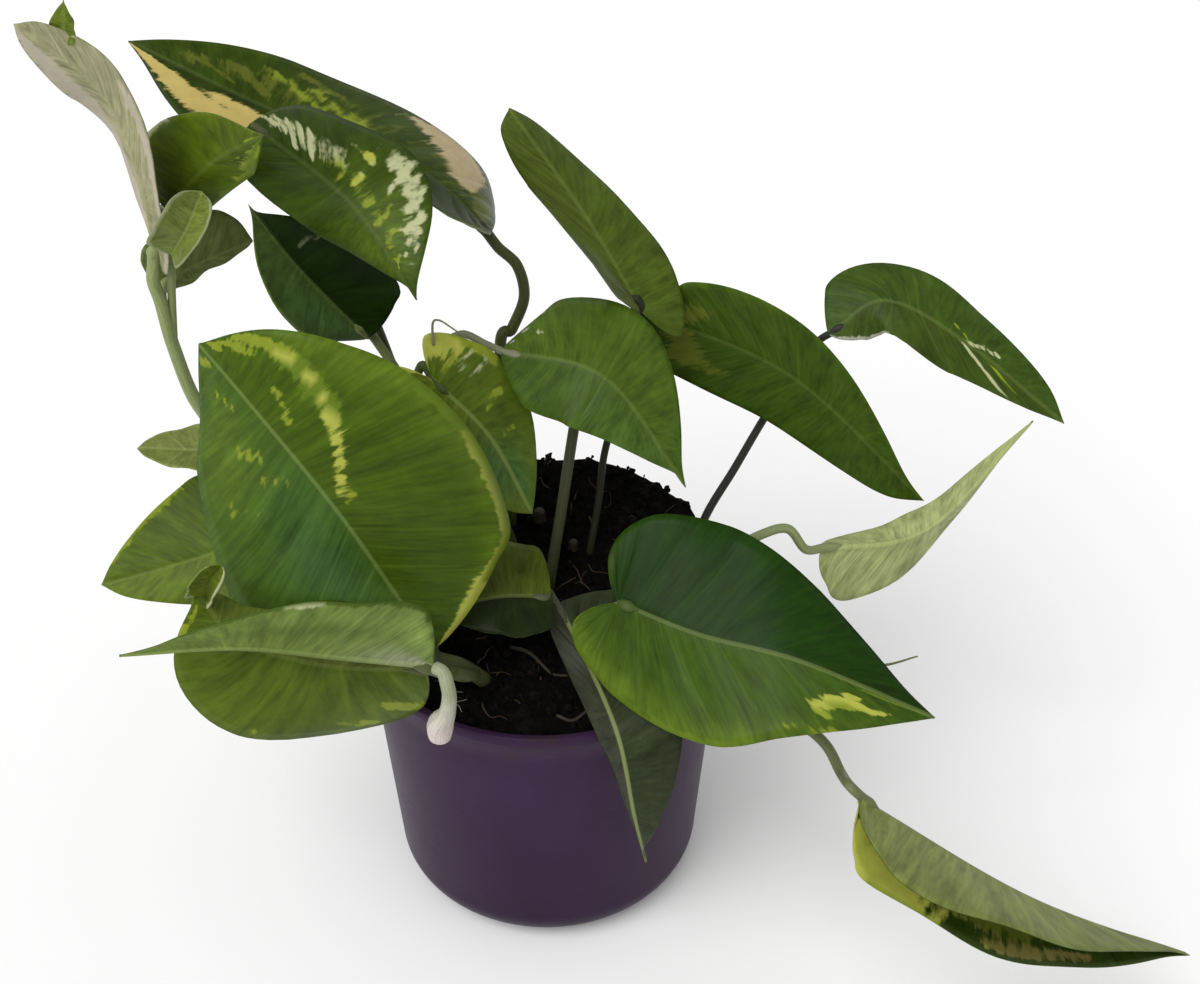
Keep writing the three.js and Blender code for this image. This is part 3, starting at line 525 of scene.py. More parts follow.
def curve_at(points, share):
    """A smooth curve through the points, at shares from 0 to 1."""
    points = np.asarray(points, float)
    padded = np.vstack([2 * points[0] - points[1], points, 2 * points[-1] - points[-2]])
    place = np.clip(share, 0, 1) * (len(points) - 1)
    first = np.minimum(place.astype(int), len(points) - 2)
    w = (place - first)[..., None]
    p0, p1, p2, p3 = (padded[first + k] for k in range(4))
    t1 = (p2 - p0) / 2
    t2 = (p3 - p1) / 2
    cubic = 2 * p1 - 2 * p2 + t1 + t2
    square = -3 * p1 + 3 * p2 - 2 * t1 - t2
    return ((cubic * w + square) * w + t1) * w + p1


def curve_length(points):
    line = curve_at(points, np.linspace(0, 1, 200))
    return float(np.linalg.norm(np.diff(line, axis=0), axis=1).sum())


def smooth_step(low, high, value):
    t = np.clip((value - low) / (high - low), 0, 1)
    return t * t * (3 - 2 * t)


def blend(first, second, share):
    return first * (1 - share) + second * share


def light(colour):
    """A colour given in thousandths, in linear light."""
    return np.array(colour) / 1000


# ---- meshes ----
def mesh_object(name, vertices, faces, attributes=()):
    """A mesh object; vertices in millimetres, attributes as (name, kind, values)."""
    mesh = bpy.data.meshes.new(name)
    mesh.from_pydata((np.asarray(vertices) * MM).tolist(), [], faces)
    mesh.validate()
    mesh.polygons.foreach_set("use_smooth", [True] * len(mesh.polygons))
    for key, kind, values in attributes:
        layer = mesh.attributes.new(key, kind, "POINT")
        field = "color" if kind == "FLOAT_COLOR" else "vector"
        layer.data.foreach_set(field, np.asarray(values, np.float32).ravel())
    obj = bpy.data.objects.new(name, mesh)
    bpy.context.scene.collection.objects.link(obj)
    return obj


def install(obj, material, slot, *nodes):
    """Gives a piece its material, hangs it under the root body and hides the imported parts that it
    replaces.
    """
    obj.data.materials.clear()
    obj.data.materials.append(material)
    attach(obj, "root")
    if nodes:
        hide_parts(*nodes)


def circle(count):
    """The cosines and sines of equal steps round a circle."""
    angles = TURN * np.arange(count) / count
    return np.cos(angles), np.sin(angles)


def ring(around, radius, height):
    """Points round the upright axis; their radius and height may differ."""
    cos, sin = around
    return np.column_stack([radius * cos, radius * sin, height + 0 * cos])


def closed_body(start, rings, end, swap=False):
    """A body from one point over equal rings to another; swap turns its faces round."""
    sides = len(rings[0])
    vertices = np.concatenate([[start], *rings, [end]])
    last = len(vertices) - 1
    last_ring = last - sides
    faces = []
    for i in range(sides):
        j = (i + 1) % sides
        if swap:
            i, j = j, i
        faces.append([0, 1 + j, 1 + i])
        for a in range(1, last_ring, sides):
            b = a + sides
            faces.append([a + i, a + j, b + j, b + i])
        faces.append([last, last_ring + i, last_ring + j])
    return vertices, faces


def tube(path, radius_at, sides, step, seed=0.0):
    """A closed round tube along a path: vertices, faces and the grain's directions."""
    length = curve_length(path)
    count = max(6, int(length / step))
    share = np.linspace(0, 1, count + 1)
    centre = curve_at(path, share)
    radius = radius_at(share, length)
    tangent = unit(np.gradient(centre, axis=0))
    normal = np.cross(tangent[0], (0.3, 0.9, 0.2))
    cos, sin = circle(sides)
    vertices = []
    grain = []
    cap = (0.35, 0.8)
    rings = [(0, shrink) for shrink in cap] + [(i, 1.0) for i in range(1, count)]
    rings += [(count, shrink) for shrink in reversed(cap)]
    for i, shrink in rings:
        normal = unit(normal - tangent[i] * (normal @ tangent[i]))
        other = np.cross(tangent[i], normal)
        outline = np.outer(cos, normal) + np.outer(sin, other)
        vertices.append(centre[i] + outline * radius[i] * shrink)
        grain.append(np.column_stack([sin, 0 * sin + share[i] * length * MM, cos + seed]))
    end = (len(rings) - 1) * sides
    faces = []
    for a in range(0, end, sides):
        b = a + sides
        for i in range(sides):
            j = (i + 1) % sides
            faces.append([a + i, a + j, b + j, b + i])
    faces.append(list(range(sides))[::-1])
    faces.append([end + i for i in range(sides)])
    return np.concatenate(vertices), faces, np.concatenate(grain)


def tapered(radius, start, loss, power=1):
    """A tube's radius that shrinks from start by a loss along the way."""
    return lambda share, length: radius * (start - loss * share ** power)


def tinted(piece, colour):
    """A tube with its colour: one for all of it, or one for each point."""
    tint = np.ones((len(piece[0]), 4))
    tint[:, :3] = colour
    return (*piece, tint)


def join(pieces):
    """Several (vertices, faces, ...) pieces as one."""
    offset = 0
    faces = []
    for vertices, own, *_ in pieces:
        faces += [[c + offset for c in face] for face in own]
        offset += len(vertices)
    columns = list(zip(*pieces))
    rest = [np.concatenate(column) for column in columns[2:]]
    return (np.concatenate(columns[0]), faces, *rest)


def install_tubes(name, pieces, material, slot, *nodes):
    """One object from tinted tubes."""
    vertices, faces, grain, tint = join(pieces)
    obj = mesh_object(name, vertices, faces, [
        ("tint", "FLOAT_COLOR", tint), ("grain", "FLOAT_VECTOR", grain)])
    install(obj, material, slot, *nodes)


# ---- shader helpers ----
class Shader:
    """A material and short ways to add nodes to it."""

    def __init__(self, name):
        self.material = bpy.data.materials.new(name)
        self.material.use_nodes = True
        self.tree = self.material.node_tree
        self.principled = self.tree.nodes["Principled BSDF"]

    def put(self, socket, value):
        """Links or sets a socket; a colour may leave out its alpha."""
        if isinstance(value, bpy.types.NodeSocket):
            self.tree.links.new(value, socket)
        elif socket.type == "RGBA":
            socket.default_value = (*value[:3], 1.0)
        else:
            socket.default_value = value

    def node(self, kind, inputs=(), **settings):
        node = self.tree.nodes.new(kind)
        for key, value in settings.items():
            setattr(node, key, value)
        for key, value in dict(inputs).items():
            self.put(node.inputs[key], value)
        return node

    def attribute(self, name):
        return self.node("ShaderNodeAttribute", attribute_name=name)

    def place(self):
        return self.node("ShaderNodeTexCoord").outputs["Object"]

    def maths(self, operation, a, b=0.0):
        return self.node("ShaderNodeMath", {0: a, 1: b}, operation=operation).outputs[0]

    def plus(self, total, *others):
        for other in others:
            total = self.maths("ADD", total, other)
        return total

    def minus(self, a, b):
        return self.maths("SUBTRACT", a, b)

    def times(self, a, b):
        return self.maths("MULTIPLY", a, b)

    def size(self, value):
        return self.maths("ABSOLUTE", value)

    def axes(self, vector):
        return self.node("ShaderNodeSeparateXYZ", {0: vector}).outputs

    def stretched(self, parts, stretch):
        """A vector of three parts, each times its own number."""
        parts = [part if by == 1 else self.times(part, by) for part, by in zip(parts, stretch)]
        return self.node("ShaderNodeCombineXYZ", dict(enumerate(parts))).outputs[0]

    def noise(self, vector, scale, detail=3.0, roughness=0.55):
        inputs = {"Vector": vector, "Scale": scale, "Detail": detail, "Roughness": roughness}
        return self.node("ShaderNodeTexNoise", inputs).outputs["Fac"]

    def ramp(self, value, low, high, to_low=0.0, to_high=1.0, kind="SMOOTHSTEP"):
        inputs = {"Value": value, "From Min": low, "From Max": high, "To Min": to_low,
                  "To Max": to_high}
        return self.node("ShaderNodeMapRange", inputs, interpolation_type=kind).outputs[0]

    def spread(self, value, to_low, to_high, around=MIDDLE_OF_NOISE):
        """Takes the usual range of a noise straight to another range."""
        return self.ramp(value, *around, to_low, to_high, "LINEAR")

    def mix(self, share, a, b, blend_type="MIX"):
        node = self.node("ShaderNodeMix", data_type="RGBA", blend_type=blend_type)
        for socket, value in zip((node.inputs[0], node.inputs[6], node.inputs[7]), (share, a, b)):
            self.put(socket, value)
        return node.outputs[2]

    def shaded(self, colour, value):
        grey = self.node("ShaderNodeCombineColor", {0: value, 1: value, 2: value}).outputs[0]
        return self.mix(1.0, colour, grey, "MULTIPLY")

    def bump(self, height, distance, strength=1.0):
        inputs = {"Height": height, "Distance": distance, "Strength": strength}
        return self.node("ShaderNodeBump", inputs).outputs[0]

    def finish(self, colour, roughness, specular, normal=None):
        inputs = {"Base Color": colour, "Roughness": roughness, "Specular IOR Level": specular}
        if normal:
            inputs["Normal"] = normal
        for key, value in inputs.items():
            self.put(self.principled.inputs[key], value)
        return self.material


def leaf_material():
    s = Shader("leaf_blade")
    tint_and_rib = s.attribute("tint")
    tint = tint_and_rib.outputs["Color"]
    mark = s.attribute("mark")
    phase, column, under = s.axes(s.attribute("vein").outputs["Vector"])
    blade = s.attribute("blade").outputs["Vector"]
    along, across, seed = s.axes(blade)
    vein_grain = (phase, column, seed)
    mottle = s.noise(blade, *LEAF_MOTTLE)
    cloud = s.noise(blade, *LEAF_CLOUD)
    streak = s.noise(s.stretched(vein_grain, STREAK_STRETCH), *LEAF_STREAK)
    band = s.noise(s.stretched(vein_grain, BAND_STRETCH), *LEAF_BAND)
    fine = s.noise(s.stretched(vein_grain, FINE_STRETCH), *LEAF_FINE)
    # The side veins lie where the phase is whole.
    from_vein = s.times(s.size(s.minus(s.maths("FRACT", phase), 0.5)), 2.0)
    vein = s.times(s.ramp(from_vein, 0.86, 1.0), s.ramp(column, 0.97, 0.55))
    shade = s.plus(s.spread(mottle, 0.90, 1.10, MOST_OF_NOISE), s.spread(fine, -0.18, 0.18),
                   s.spread(band, -0.24, 0.24))
    shade = s.times(shade, s.spread(cloud, 0.90, 1.10))
    bright = s.mix(1.0, tint, (1.75, 1.65, 1.9), "MULTIPLY")
    colour = s.mix(s.times(vein, 0.30), s.shaded(tint, shade), bright)
    mask = s.plus(mark.outputs["Alpha"], s.times(s.minus(streak, 0.5), PATCH_TEAR),
                  s.times(s.minus(mottle, 0.5), PATCH_FRAY))
    mask = s.ramp(mask, *PATCH_EDGE)
    patch = s.shaded(mark.outputs["Color"], s.spread(mottle, 0.86, 1.12, (0.2, 0.8)))
    colour = s.mix(mask, colour, patch)
    # The midrib pales: its own paler colour and a painted sheen along it.
    rib = s.times(s.ramp(s.size(across), *RIB_EDGE), tint_and_rib.outputs["Alpha"])
    colour = s.mix(rib, colour, s.mix(0.55, bright, (0.30, 0.36, 0.12)))
    height = s.plus(s.times(fine, 0.35), s.times(mottle, 0.35))
    height = s.minus(height, s.times(vein, 0.5))
    rough = s.plus(s.spread(mottle, 0.33, 0.43, MOST_OF_NOISE), s.times(under, 0.18))
    return s.finish(colour, rough, 0.10, s.bump(height, 0.00022, 0.6))


def stem_material():
    s = Shader("stem_skin")
    tint = s.attribute("tint").outputs["Color"]
    grain = s.axes(s.attribute("grain").outputs["Vector"])
    ribs = s.noise(s.stretched(grain, RIB_STRETCH), *STEM_RIBS)
    spots = s.noise(s.stretched(grain, SPOT_STRETCH), *STEM_SPOTS)
    colour = s.shaded(tint, s.plus(s.spread(ribs, 0.78, 1.18), s.spread(spots, -0.12, 0.12)))
    brown = s.mix(1.0, tint, (1.05, 0.72, 0.6), "MULTIPLY")
    colour = s.mix(s.ramp(spots, 0.60, 0.70, 0.0, 0.7), colour, brown)
    normal = s.bump(s.plus(ribs, s.times(spots, 0.4)), 0.0003, 0.6)
    return s.finish(colour, s.spread(ribs, 0.38, 0.52), 0.22, normal)


def soil_material(name, dark, pale, rough):
    s = Shader(name)
    place = s.place()
    grains = s.noise(place, *SOIL_GRAINS)
    clods = s.noise(place, *SOIL_LUMPS)
    colour = s.shaded(s.mix(s.ramp(grains, 0.42, 0.72), dark, pale), s.spread(clods, 0.5, 1.3))
    normal = s.bump(s.plus(grains, s.times(clods, 0.8)), 0.0012, 0.9)
    return s.finish(colour, s.spread(grains, rough, 1.0), 0.08, normal)


def pot_material():
    s = Shader("satin_pot")
    place = s.place()
    x, y, z = s.axes(place)
    cloud = s.noise(place, *POT_CLOUD)
    grain = s.noise(place, *POT_GRAIN)
    scuff = s.noise(s.stretched((x, y, z), SCUFF_STRETCH), *POT_SCUFF)
    colour = s.mix(s.ramp(cloud, *MIDDLE_OF_NOISE), (0.030, 0.012, 0.038), (0.039, 0.017, 0.050))
    colour = s.mix(s.ramp(scuff, 0.62, 0.80, 0.0, 0.35), colour, (0.11, 0.075, 0.13))
    # Soil stains under the rim, and painted shade that darkens the foot below the wall.
    stain = s.times(s.ramp(s.noise(place, *POT_STAIN), 0.52, 0.66), s.ramp(z, 0.082, 0.1005))
    colour = s.mix(s.times(stain, 0.6), colour, (0.030, 0.018, 0.012))
    colour = s.shaded(colour, s.spread(z, 0.72, 1.0, (0.0, 0.09)))
    rough = s.plus(s.spread(cloud, 0.36, 0.46), s.spread(scuff, 0.0, 0.12, (0.6, 0.8)))
    return s.finish(colour, rough, 0.10, s.bump(s.plus(grain, scuff), 0.00012, 0.5))


def floor_material():
    s = Shader("studio_floor")
    colour = s.mix(s.noise(s.place(), 3.0), (0.93, 0.93, 0.93), (0.95, 0.95, 0.95))
    return s.finish(colour, 0.9, 0.0)


# ---- leaf blades ----
def half_outline(lobe, belly, full):
    """One half of the blade's outline: share of the length, share of the half's width."""
    def ahead(share):
        return belly + (1 - belly) * share

    def between(pointed, rounded):
        return pointed + (rounded - pointed) * full

    swept = max(0, 1 - abs(lobe) / FULL_LOBE) * BASE_SWEEP * belly

    def shoulder(behind, y):
        start = -lobe * (y ** 1.5 if lobe < 0 else behind)
        return start + BASE_ROUND * y ** 2 + swept * y ** 4, y

    return [
        (0, 0),
        shoulder(0.6, 0.16),
        shoulder(1, 0.4),
        shoulder(0.7, 0.68),
        (belly * 0.1 - lobe * 0.85 if lobe < 0 else belly * 0.25 - lobe * 0.15, 0.9),
        (belly, 1),
        (ahead(0.25), between(0.93, 0.97)),
        (ahead(0.5), between(0.7, 0.88)),
        (ahead(0.725), between(0.4, 0.7)),
        (ahead(0.89), between(0.14, 0.46)),
        (1, 0),
    ]


def leaf_frame(leaf, share):
    """The tip's direction, the upper face's normal and the right-hand side on the midrib."""
    share = np.asarray(share, float)
    step = 1e-3
    before = curve_at(leaf.midrib, np.maximum(share - step, 0))
    after = curve_at(leaf.midrib, np.minimum(share + step, 1))
    forward = unit(after - before)
    first, last = (unit(up) for up in leaf.up)
    normal = first + (last - first) * share[..., None]
    normal = unit(normal - forward * (normal * forward).sum(-1, keepdims=True))
    return forward, normal, np.cross(forward, normal)


def blade_grid(leaf, length, half, rows, columns):
    """The middle surface of one half, its normals, and the place along and across it in mm."""
    width, fold, curl, *outline = leaf.halves[half]
    row, column = np.meshgrid(rows, columns, indexing="ij")
    margin = curve_at(half_outline(*outline), row)
    deepest_lobe = max(0, *(lobe for _, _, _, lobe, _, _ in leaf.halves))
    lobed = LOBE_SHARE * min(deepest_lobe / FULL_LOBE, 1)
    rib = np.clip((row - lobed) / (1 - lobed), 0, None) ** ROW_BEND
    along = rib + (margin[..., 0] - rib) * column
    across = margin[..., 1] * column
    share = np.clip(along, 0, 1)
    forward, normal, side = leaf_frame(leaf, share)
    side = side * (-1 if half == 0 else 1)
    if isinstance(fold, list):
        fold = fold[0] + (fold[1] - fold[0]) * share
    fold = np.radians(fold) + 0 * share
    curl = math.radians(curl)
    if curl == 0:
        out = across * np.cos(fold)
        rise = across * np.sin(fold)
    else:
        out = (np.sin(fold + curl * across) - np.sin(fold)) / curl
        rise = (np.cos(fold) - np.cos(fold + curl * across)) / curl
    turns = TURN * WAVE_COUNT * along + 1.3 * half
    wave = MARGIN_WAVE * across ** 2 * np.sin(turns)
    place = (curve_at(leaf.midrib, share)
             + forward * (np.minimum(along, 0) * length)[..., None]
             + side * (out * width)[..., None]
             + normal * (rise * width + wave)[..., None])
    tilt = (fold + curl * across)[..., None]
    facing = normal * np.cos(tilt) - side * np.sin(tilt)
    return dict(place=place, facing=facing, along=along * length, across=across * width,
                row=row, column=column)


def build_leaf(index, name, leaf, material, *nodes):
    """A closed blade: both halves are merged on the midrib and given an upper and lower skin."""
    length = curve_length(leaf.midrib)
    veins = int(np.clip(round(length / VEIN_SPACING), *VEIN_COUNTS))
    rows = np.linspace(0, 1, ROWS_PER_VEIN * veins + 1)
    columns = np.linspace(0, 1, BLADE_COLUMNS) ** COLUMN_BEND
    parts = []
    faces = []
    margins = []
    offset = 0
    for half in (0, 1):
        grid = blade_grid(leaf, length, half, rows, columns)
        ids = offset + np.arange(rows.size * columns.size).reshape(rows.size, columns.size)
        quads = np.stack([ids[:-1, :-1], ids[:-1, 1:], ids[1:, 1:], ids[1:, :-1]], -1).reshape(-1, 4)
        faces.append(quads if half == 1 else quads[:, ::-1])
        margins.append(ids[:, -1] if half == 1 else ids[::-1, -1])
        parts.append(leaf_values(index, name, length, half, grid, veins))
        offset += ids.size
    values = {key: np.concatenate([part[key] for part in parts]) for key in parts[0]}
    rounded = np.round(values["place"], 3)
    _, kept, merged = np.unique(rounded, axis=0, return_index=True, return_inverse=True)
    merged = merged.ravel()
    facing = np.zeros((len(kept), 3))
    np.add.at(facing, merged, values["facing"])
    facing = unit(facing)
    values = {key: value[kept] for key, value in values.items()}
    middle = values["place"] + facing * values["quilt"][:, None]
    top = middle + facing * values["above"][:, None]
    bottom = middle - facing * values["below"][:, None]
    total = len(kept)
    polygons = []
    for quad in merged[np.concatenate(faces)]:
        corners = [int(c) for i, c in enumerate(quad) if c != quad[i - 1]]
        if len(set(corners)) >= 3:
            polygons.append(corners)
            polygons.append([c + total for c in reversed(corners)])
    for margin in margins:
        line = merged[margin].tolist()
        for a, b in zip(line[:-1], line[1:]):
            if a != b:
                polygons.append([a, a + total, b + total, b])
    obj = mesh_object(f"blade_{name}", np.concatenate([top, bottom]), polygons, [
        ("tint", "FLOAT_COLOR", np.concatenate([values["upper"], values["under"]])),
        ("mark", "FLOAT_COLOR", np.tile(values["mark"], (2, 1))),
        ("vein", "FLOAT_VECTOR", np.concatenate([values["vein"], values["vein"] + (0, 0, 1)])),
        ("blade", "FLOAT_VECTOR", np.tile(values["blade"], (2, 1))),
    ])
    install(obj, material, "leaf", *nodes)


def nearness(row, column, middle_row, middle_column, rows, columns):
    """How near each point lies to a patch's middle, from 0 to 1."""
    return np.exp(-((row - middle_row) / rows) ** 2 - ((column - middle_column) / columns) ** 2)


def streak_nearness(row, column, row0, column0, row1, column1, reach):
    """How near each point lies to the straight streak between two places, from 0 to 1."""
    start = np.array((row0, column0 * COLUMN_SCALE))
    step = np.array((row1, column1 * COLUMN_SCALE)) - start
    offset = np.stack([row, column * COLUMN_SCALE], -1) - start
    share = np.clip((offset @ step) / (step @ step), 0, 1)
    gap = offset - share[..., None] * step
    return np.exp(-(gap ** 2).sum(-1) / reach ** 2)


def leaf_colours(name, half, row, column):
    """The upper face's and the under face's colour, and the patches with their strength."""
    *uppers, under, rib = LEAVES[name].colours
    upper = light(uppers[half]) + np.zeros((*row.shape, 3))
    under = light(under) + np.zeros((*row.shape, 3))
    # Painted sheen lightens the upper face along the margin.
    upper *= (1 + MARGIN_PAINTED_SHEEN * smooth_step(0.93, 1.0, column))[..., None]
    shown = under if name in SHADED_BELOW else upper
    for side, *patch, colour, strength in LEAF_SHADES.get(name, ()):
        if side == half:
            amount = strength / 100 * nearness(row, column, *np.array(patch) / 100)
            shown += (light(colour) - shown) * amount[..., None]
    mark = np.zeros((*row.shape, 4))
    mark[..., :3] = light(CREAM)
    for side, colour, *streaks in LEAF_MARKS.get(name, ()):
        for *ends, reach, strength in streaks if side == half else ():
            near = streak_nearness(row, column, *np.array(ends) / 100, reach / 1000)
            amount = strength / 100 * near
            mark[amount > mark[..., 3], :3] = light(colour)
            mark[..., 3] = np.maximum(mark[..., 3], amount)
    return (np.dstack([upper, np.full(row.shape, rib)]),
            np.dstack([under, np.full(row.shape, UNDER_RIB)]), mark)


def leaf_values(index, name, length, half, grid, veins):
    """What each point of one half carries: its place, thickness, colours and patches."""
    row, column = grid["row"], grid["column"]
    along, across = grid["along"], grid["across"]
    taper = np.clip(1 - along / length, 0, 1)
    phase = row * veins
    vein = (0.5 + 0.5 * np.cos(TURN * phase)) ** 3
    body = np.sin(math.pi * column ** 0.8) * np.minimum(across / QUILT_START, 1)
    thin = BLADE_THICKNESS + (MARGIN_THICKNESS - BLADE_THICKNESS) * column ** 4
    radius = RIDGE_RADIUS * min(length / FULL_RIDGE_LENGTH, 1) * (0.25 + 0.75 * taper)
    ridge = radius * np.exp(-(across / (0.75 * radius)) ** 2)
    groove = GROOVE_DEPTH * (0.3 + 0.7 * taper) * np.exp(-(across / GROOVE_WIDTH) ** 2)
    upper, under, mark = leaf_colours(name, half, row, column)
    sideways = across if half == 1 else -across
    values = dict(
        place=grid["place"], facing=grid["facing"], upper=upper, under=under, mark=mark,
        quilt=-QUILT_DEPTH * length * (vein - 0.3) * body,
        above=thin / 2 - groove, below=thin / 2 + ridge,
        vein=np.dstack([phase, column, 0 * row]),
        blade=np.dstack([along * MM, sideways * MM, 0 * row + index * 0.37]),
    )
    return {key: value.reshape(row.size, -1).squeeze() for key, value in values.items()}


# ---- stems ----
def branch_path(radius, leaf_name, path):
    """A branch's path; one that carries a leaf runs on into the base of the midrib's ridge."""
    path = [np.array(point, float) for point in path]
    if leaf_name is None:
        return path
    leaf = LEAVES[leaf_name]
    base = np.array(leaf.midrib[0], float)
    forward, normal, _ = (v[0] for v in leaf_frame(leaf, np.zeros(1)))
    under = BLADE_THICKNESS / 2 + 0.6 * radius
    if leaf_name not in STRAIGHT_IN:
        path.append(base - forward * STALK_APPROACH - normal * (under + STALK_DIP))
    path.append(base + forward - normal * under)
    path.append(base + forward * STALK_SINK - normal * 0.4)
    return path


def branch_radius(radius, leaf_name):
    """A stalk swells at its knuckle and thins into the blade; a spear runs out to a point."""
    def at(share, length):
        value = radius * (1.12 - 0.2 * share)
        if leaf_name is None:
            return value * (1 - 0.75 * share)
        end = length - share * length
        value *= 1 + KNUCKLE_SWELL * np.exp(-((end - KNUCKLE_PLACE) / KNUCKLE_LENGTH) ** 2)
        return value * (0.45 + 0.55 * smooth_step(0, STALK_SINK, end))

    return at


def build_stem(index, name, colour, branches, material):
    pieces = []
    for k, (radius, leaf_name, path) in enumerate(branches):
        piece = tube(branch_path(radius, leaf_name, path), branch_radius(radius, leaf_name),
                     STEM_SIDES, STEM_STEP, index + k)
        height = piece[0][:, 2:]
        low = STEM_FOOT_SHARE * smooth_step(*STEM_FOOT_HEIGHTS, height)
        tint = blend(light(colour), STEM_FOOT, low)
        if name in PALE_TOPS:
            tint = blend(tint, PALE_TOP, smooth_step(*PALE_TOP_HEIGHTS, height))
        pieces.append(tinted(piece, tint))
    install_tubes(f"stem_{name}", pieces, material, "stem", name)


def build_shoot(material):
    def radius_at(share, length):
        bulb = np.exp(-((1 - share) * length / SHOOT_BULB_LENGTH - 0.75) ** 2 * 1.4)
        return SHOOT_RADIUS * (0.75 + 0.25 * share) + (SHOOT_BULB_RADIUS - SHOOT_RADIUS) * bulb

    piece = tube(SHOOT_PATH, radius_at, SHOOT_SIDES, THIN_STEP)
    height = piece[0][:, 2:]
    tint = blend(SHOOT_PALE, SHOOT_TIP, smooth_step(*SHOOT_TIP_HEIGHTS, height))
    tint = blend(tint, SHOOT_GREEN, smooth_step(*SHOOT_GREEN_HEIGHTS, height))
    install_tubes("root_shoot", [tinted(piece, tint)], material, "shoot", "pale_shoot")


def build_bits(material):
    """Loose thin bits: each is a named list of tubes of one colour."""
    for k, (name, radius, colour, paths) in enumerate(BITS):
        radius_at = tapered(radius, 1.1, 0.6)
        pieces = [tinted(tube(path, radius_at, THIN_SIDES, THIN_STEP, k), light(colour))
                  for path in paths]
        install_tubes(name, pieces, material, "stem")


def build_ground_bits(material):
    """Thick surface roots, and the stubs of old stalks, on the soil."""
    pieces = []
    for k, path in enumerate(SURFACE_ROOTS):
        points = [(x, y, on_soil(x, y) + 0.3) for x, y in path]
        pieces.append(tube(points, tapered(0.6, 1.1, 0.5), THIN_SIDES, 1.0, k))
    for k, (x, y, radius) in enumerate(STUBS):
        foot = on_soil(x, y) - 1
        points = [(x, y, foot), (x, y + 0.3, foot + radius), (x + 0.4, y, foot + 2.2 * radius)]
        pieces.append(tube(points, tapered(radius, 1.1, 0.4, 2), 10, 0.6, k))
    pieces = [tinted(piece, ROOT_COLOUR) for piece in pieces]
    install_tubes("soil_roots", pieces, material, "soil")


# ---- pot ----
def pot_inner_radius(height):
    share = (height - FOOT_FILLET) / (POT_HEIGHT - FOOT_FILLET)
    return FOOT_RADIUS + (RIM_RADIUS - LIP_STEP - FOOT_RADIUS) * share - WALL


def arc(centre_x, centre_z, radius, start, end, count):
    angles = np.radians(np.linspace(start, end, count))
    return [(centre_x + radius * math.cos(a), centre_z + radius * math.sin(a)) for a in angles]


def lathe(profile, segments):
    """A turned solid; the profile starts and ends on the axis."""
    around = circle(segments)
    rings = [ring(around, r, z) for r, z in profile[1:-1]]
    return closed_body((0, 0, profile[0][1]), rings, (0, 0, profile[-1][1]))


def build_pot(material):
    lip = POT_HEIGHT - LIP_HEIGHT
    foot = FOOT_RADIUS - FOOT_FILLET
    wall_top = RIM_RADIUS - LIP_STEP
    inner = pot_inner_radius(POT_HEIGHT)
    profile = [(0, 0), (12, 0), (24, 0), (foot, 0)]
    profile += arc(foot, FOOT_FILLET, FOOT_FILLET, -88, 0, 18)
    rise = np.linspace(0, 1, 12)[1:]
    profile += [(FOOT_RADIUS + (wall_top - FOOT_RADIUS) * t,
                 FOOT_FILLET + (lip - FOOT_FILLET) * t) for t in rise]
    profile += arc(RIM_RADIUS - EDGE_ROUND, lip + 0.9, EDGE_ROUND, -70, 0, 4)
    profile += arc(RIM_RADIUS - LIP_STEP, POT_HEIGHT - LIP_STEP, LIP_STEP, 0, 90, 6)
    profile += arc(inner + EDGE_ROUND, POT_HEIGHT - EDGE_ROUND, EDGE_ROUND, 90, 180, 4)
    profile += [(pot_inner_radius(POT_HEIGHT - t), POT_HEIGHT - t) for t in (4, 20, 40, 60)]
    profile += arc(foot, FOOT_FILLET, FOOT_FILLET - WALL, 0, -80, 12)
    profile += [(foot, FLOOR), (24, FLOOR), (12, FLOOR), (0, FLOOR)]
    pot = mesh_object("planter", *lathe(profile, POT_SEGMENTS))
    cut_drain_holes(pot)
    install(pot, material, "pot", "pot")


def cut_drain_holes(pot):
    ends = [(0, -FLOOR), (DRAIN_RADIUS, -FLOOR), (DRAIN_RADIUS, 3 * FLOOR), (0, 3 * FLOOR)]
    for i in range(DRAIN_HOLES):
        angle = TURN * i / DRAIN_HOLES
        middle = (DRAIN_CIRCLE * math.cos(angle), DRAIN_CIRCLE * math.sin(angle), 0)
        vertices, faces = lathe(ends, DRAIN_SIDES)
        cutter = mesh_object("drain", vertices + middle, faces)
        cut = pot.modifiers.new("drain", "BOOLEAN")
        cut.operation = "DIFFERENCE"
        cut.solver = "EXACT"
        cut.object = cutter
        shaped = pot.evaluated_get(bpy.context.evaluated_depsgraph_get())
        mesh = bpy.data.meshes.new_from_object(shaped)
        pot.modifiers.clear()
        pot.data = mesh
        bpy.data.objects.remove(cutter)


# ---- soil ----
def soil_height(x, y):
    radius = np.hypot(x, y)
    sine = np.where(radius > 0, y / np.maximum(radius, 1e-9), 0)
    shoulder = (SOIL_FRONT_HEIGHT
                + (SOIL_BACK_HEIGHT - SOIL_FRONT_HEIGHT) * smooth_step(-0.6, 0.55, sine))
    reach = np.minimum(radius / SOIL_RADIUS, 1)
    plain = SOIL_CENTRE_HEIGHT + (shoulder - SOIL_CENTRE_HEIGHT) * reach ** 1.6
    bumps = (np.sin(0.31 * x + 0.8) * np.cos(0.27 * y) + 0.6 * np.sin(0.55 * y + 0.24 * x))
    return plain + SOIL_BUMP * bumps * reach


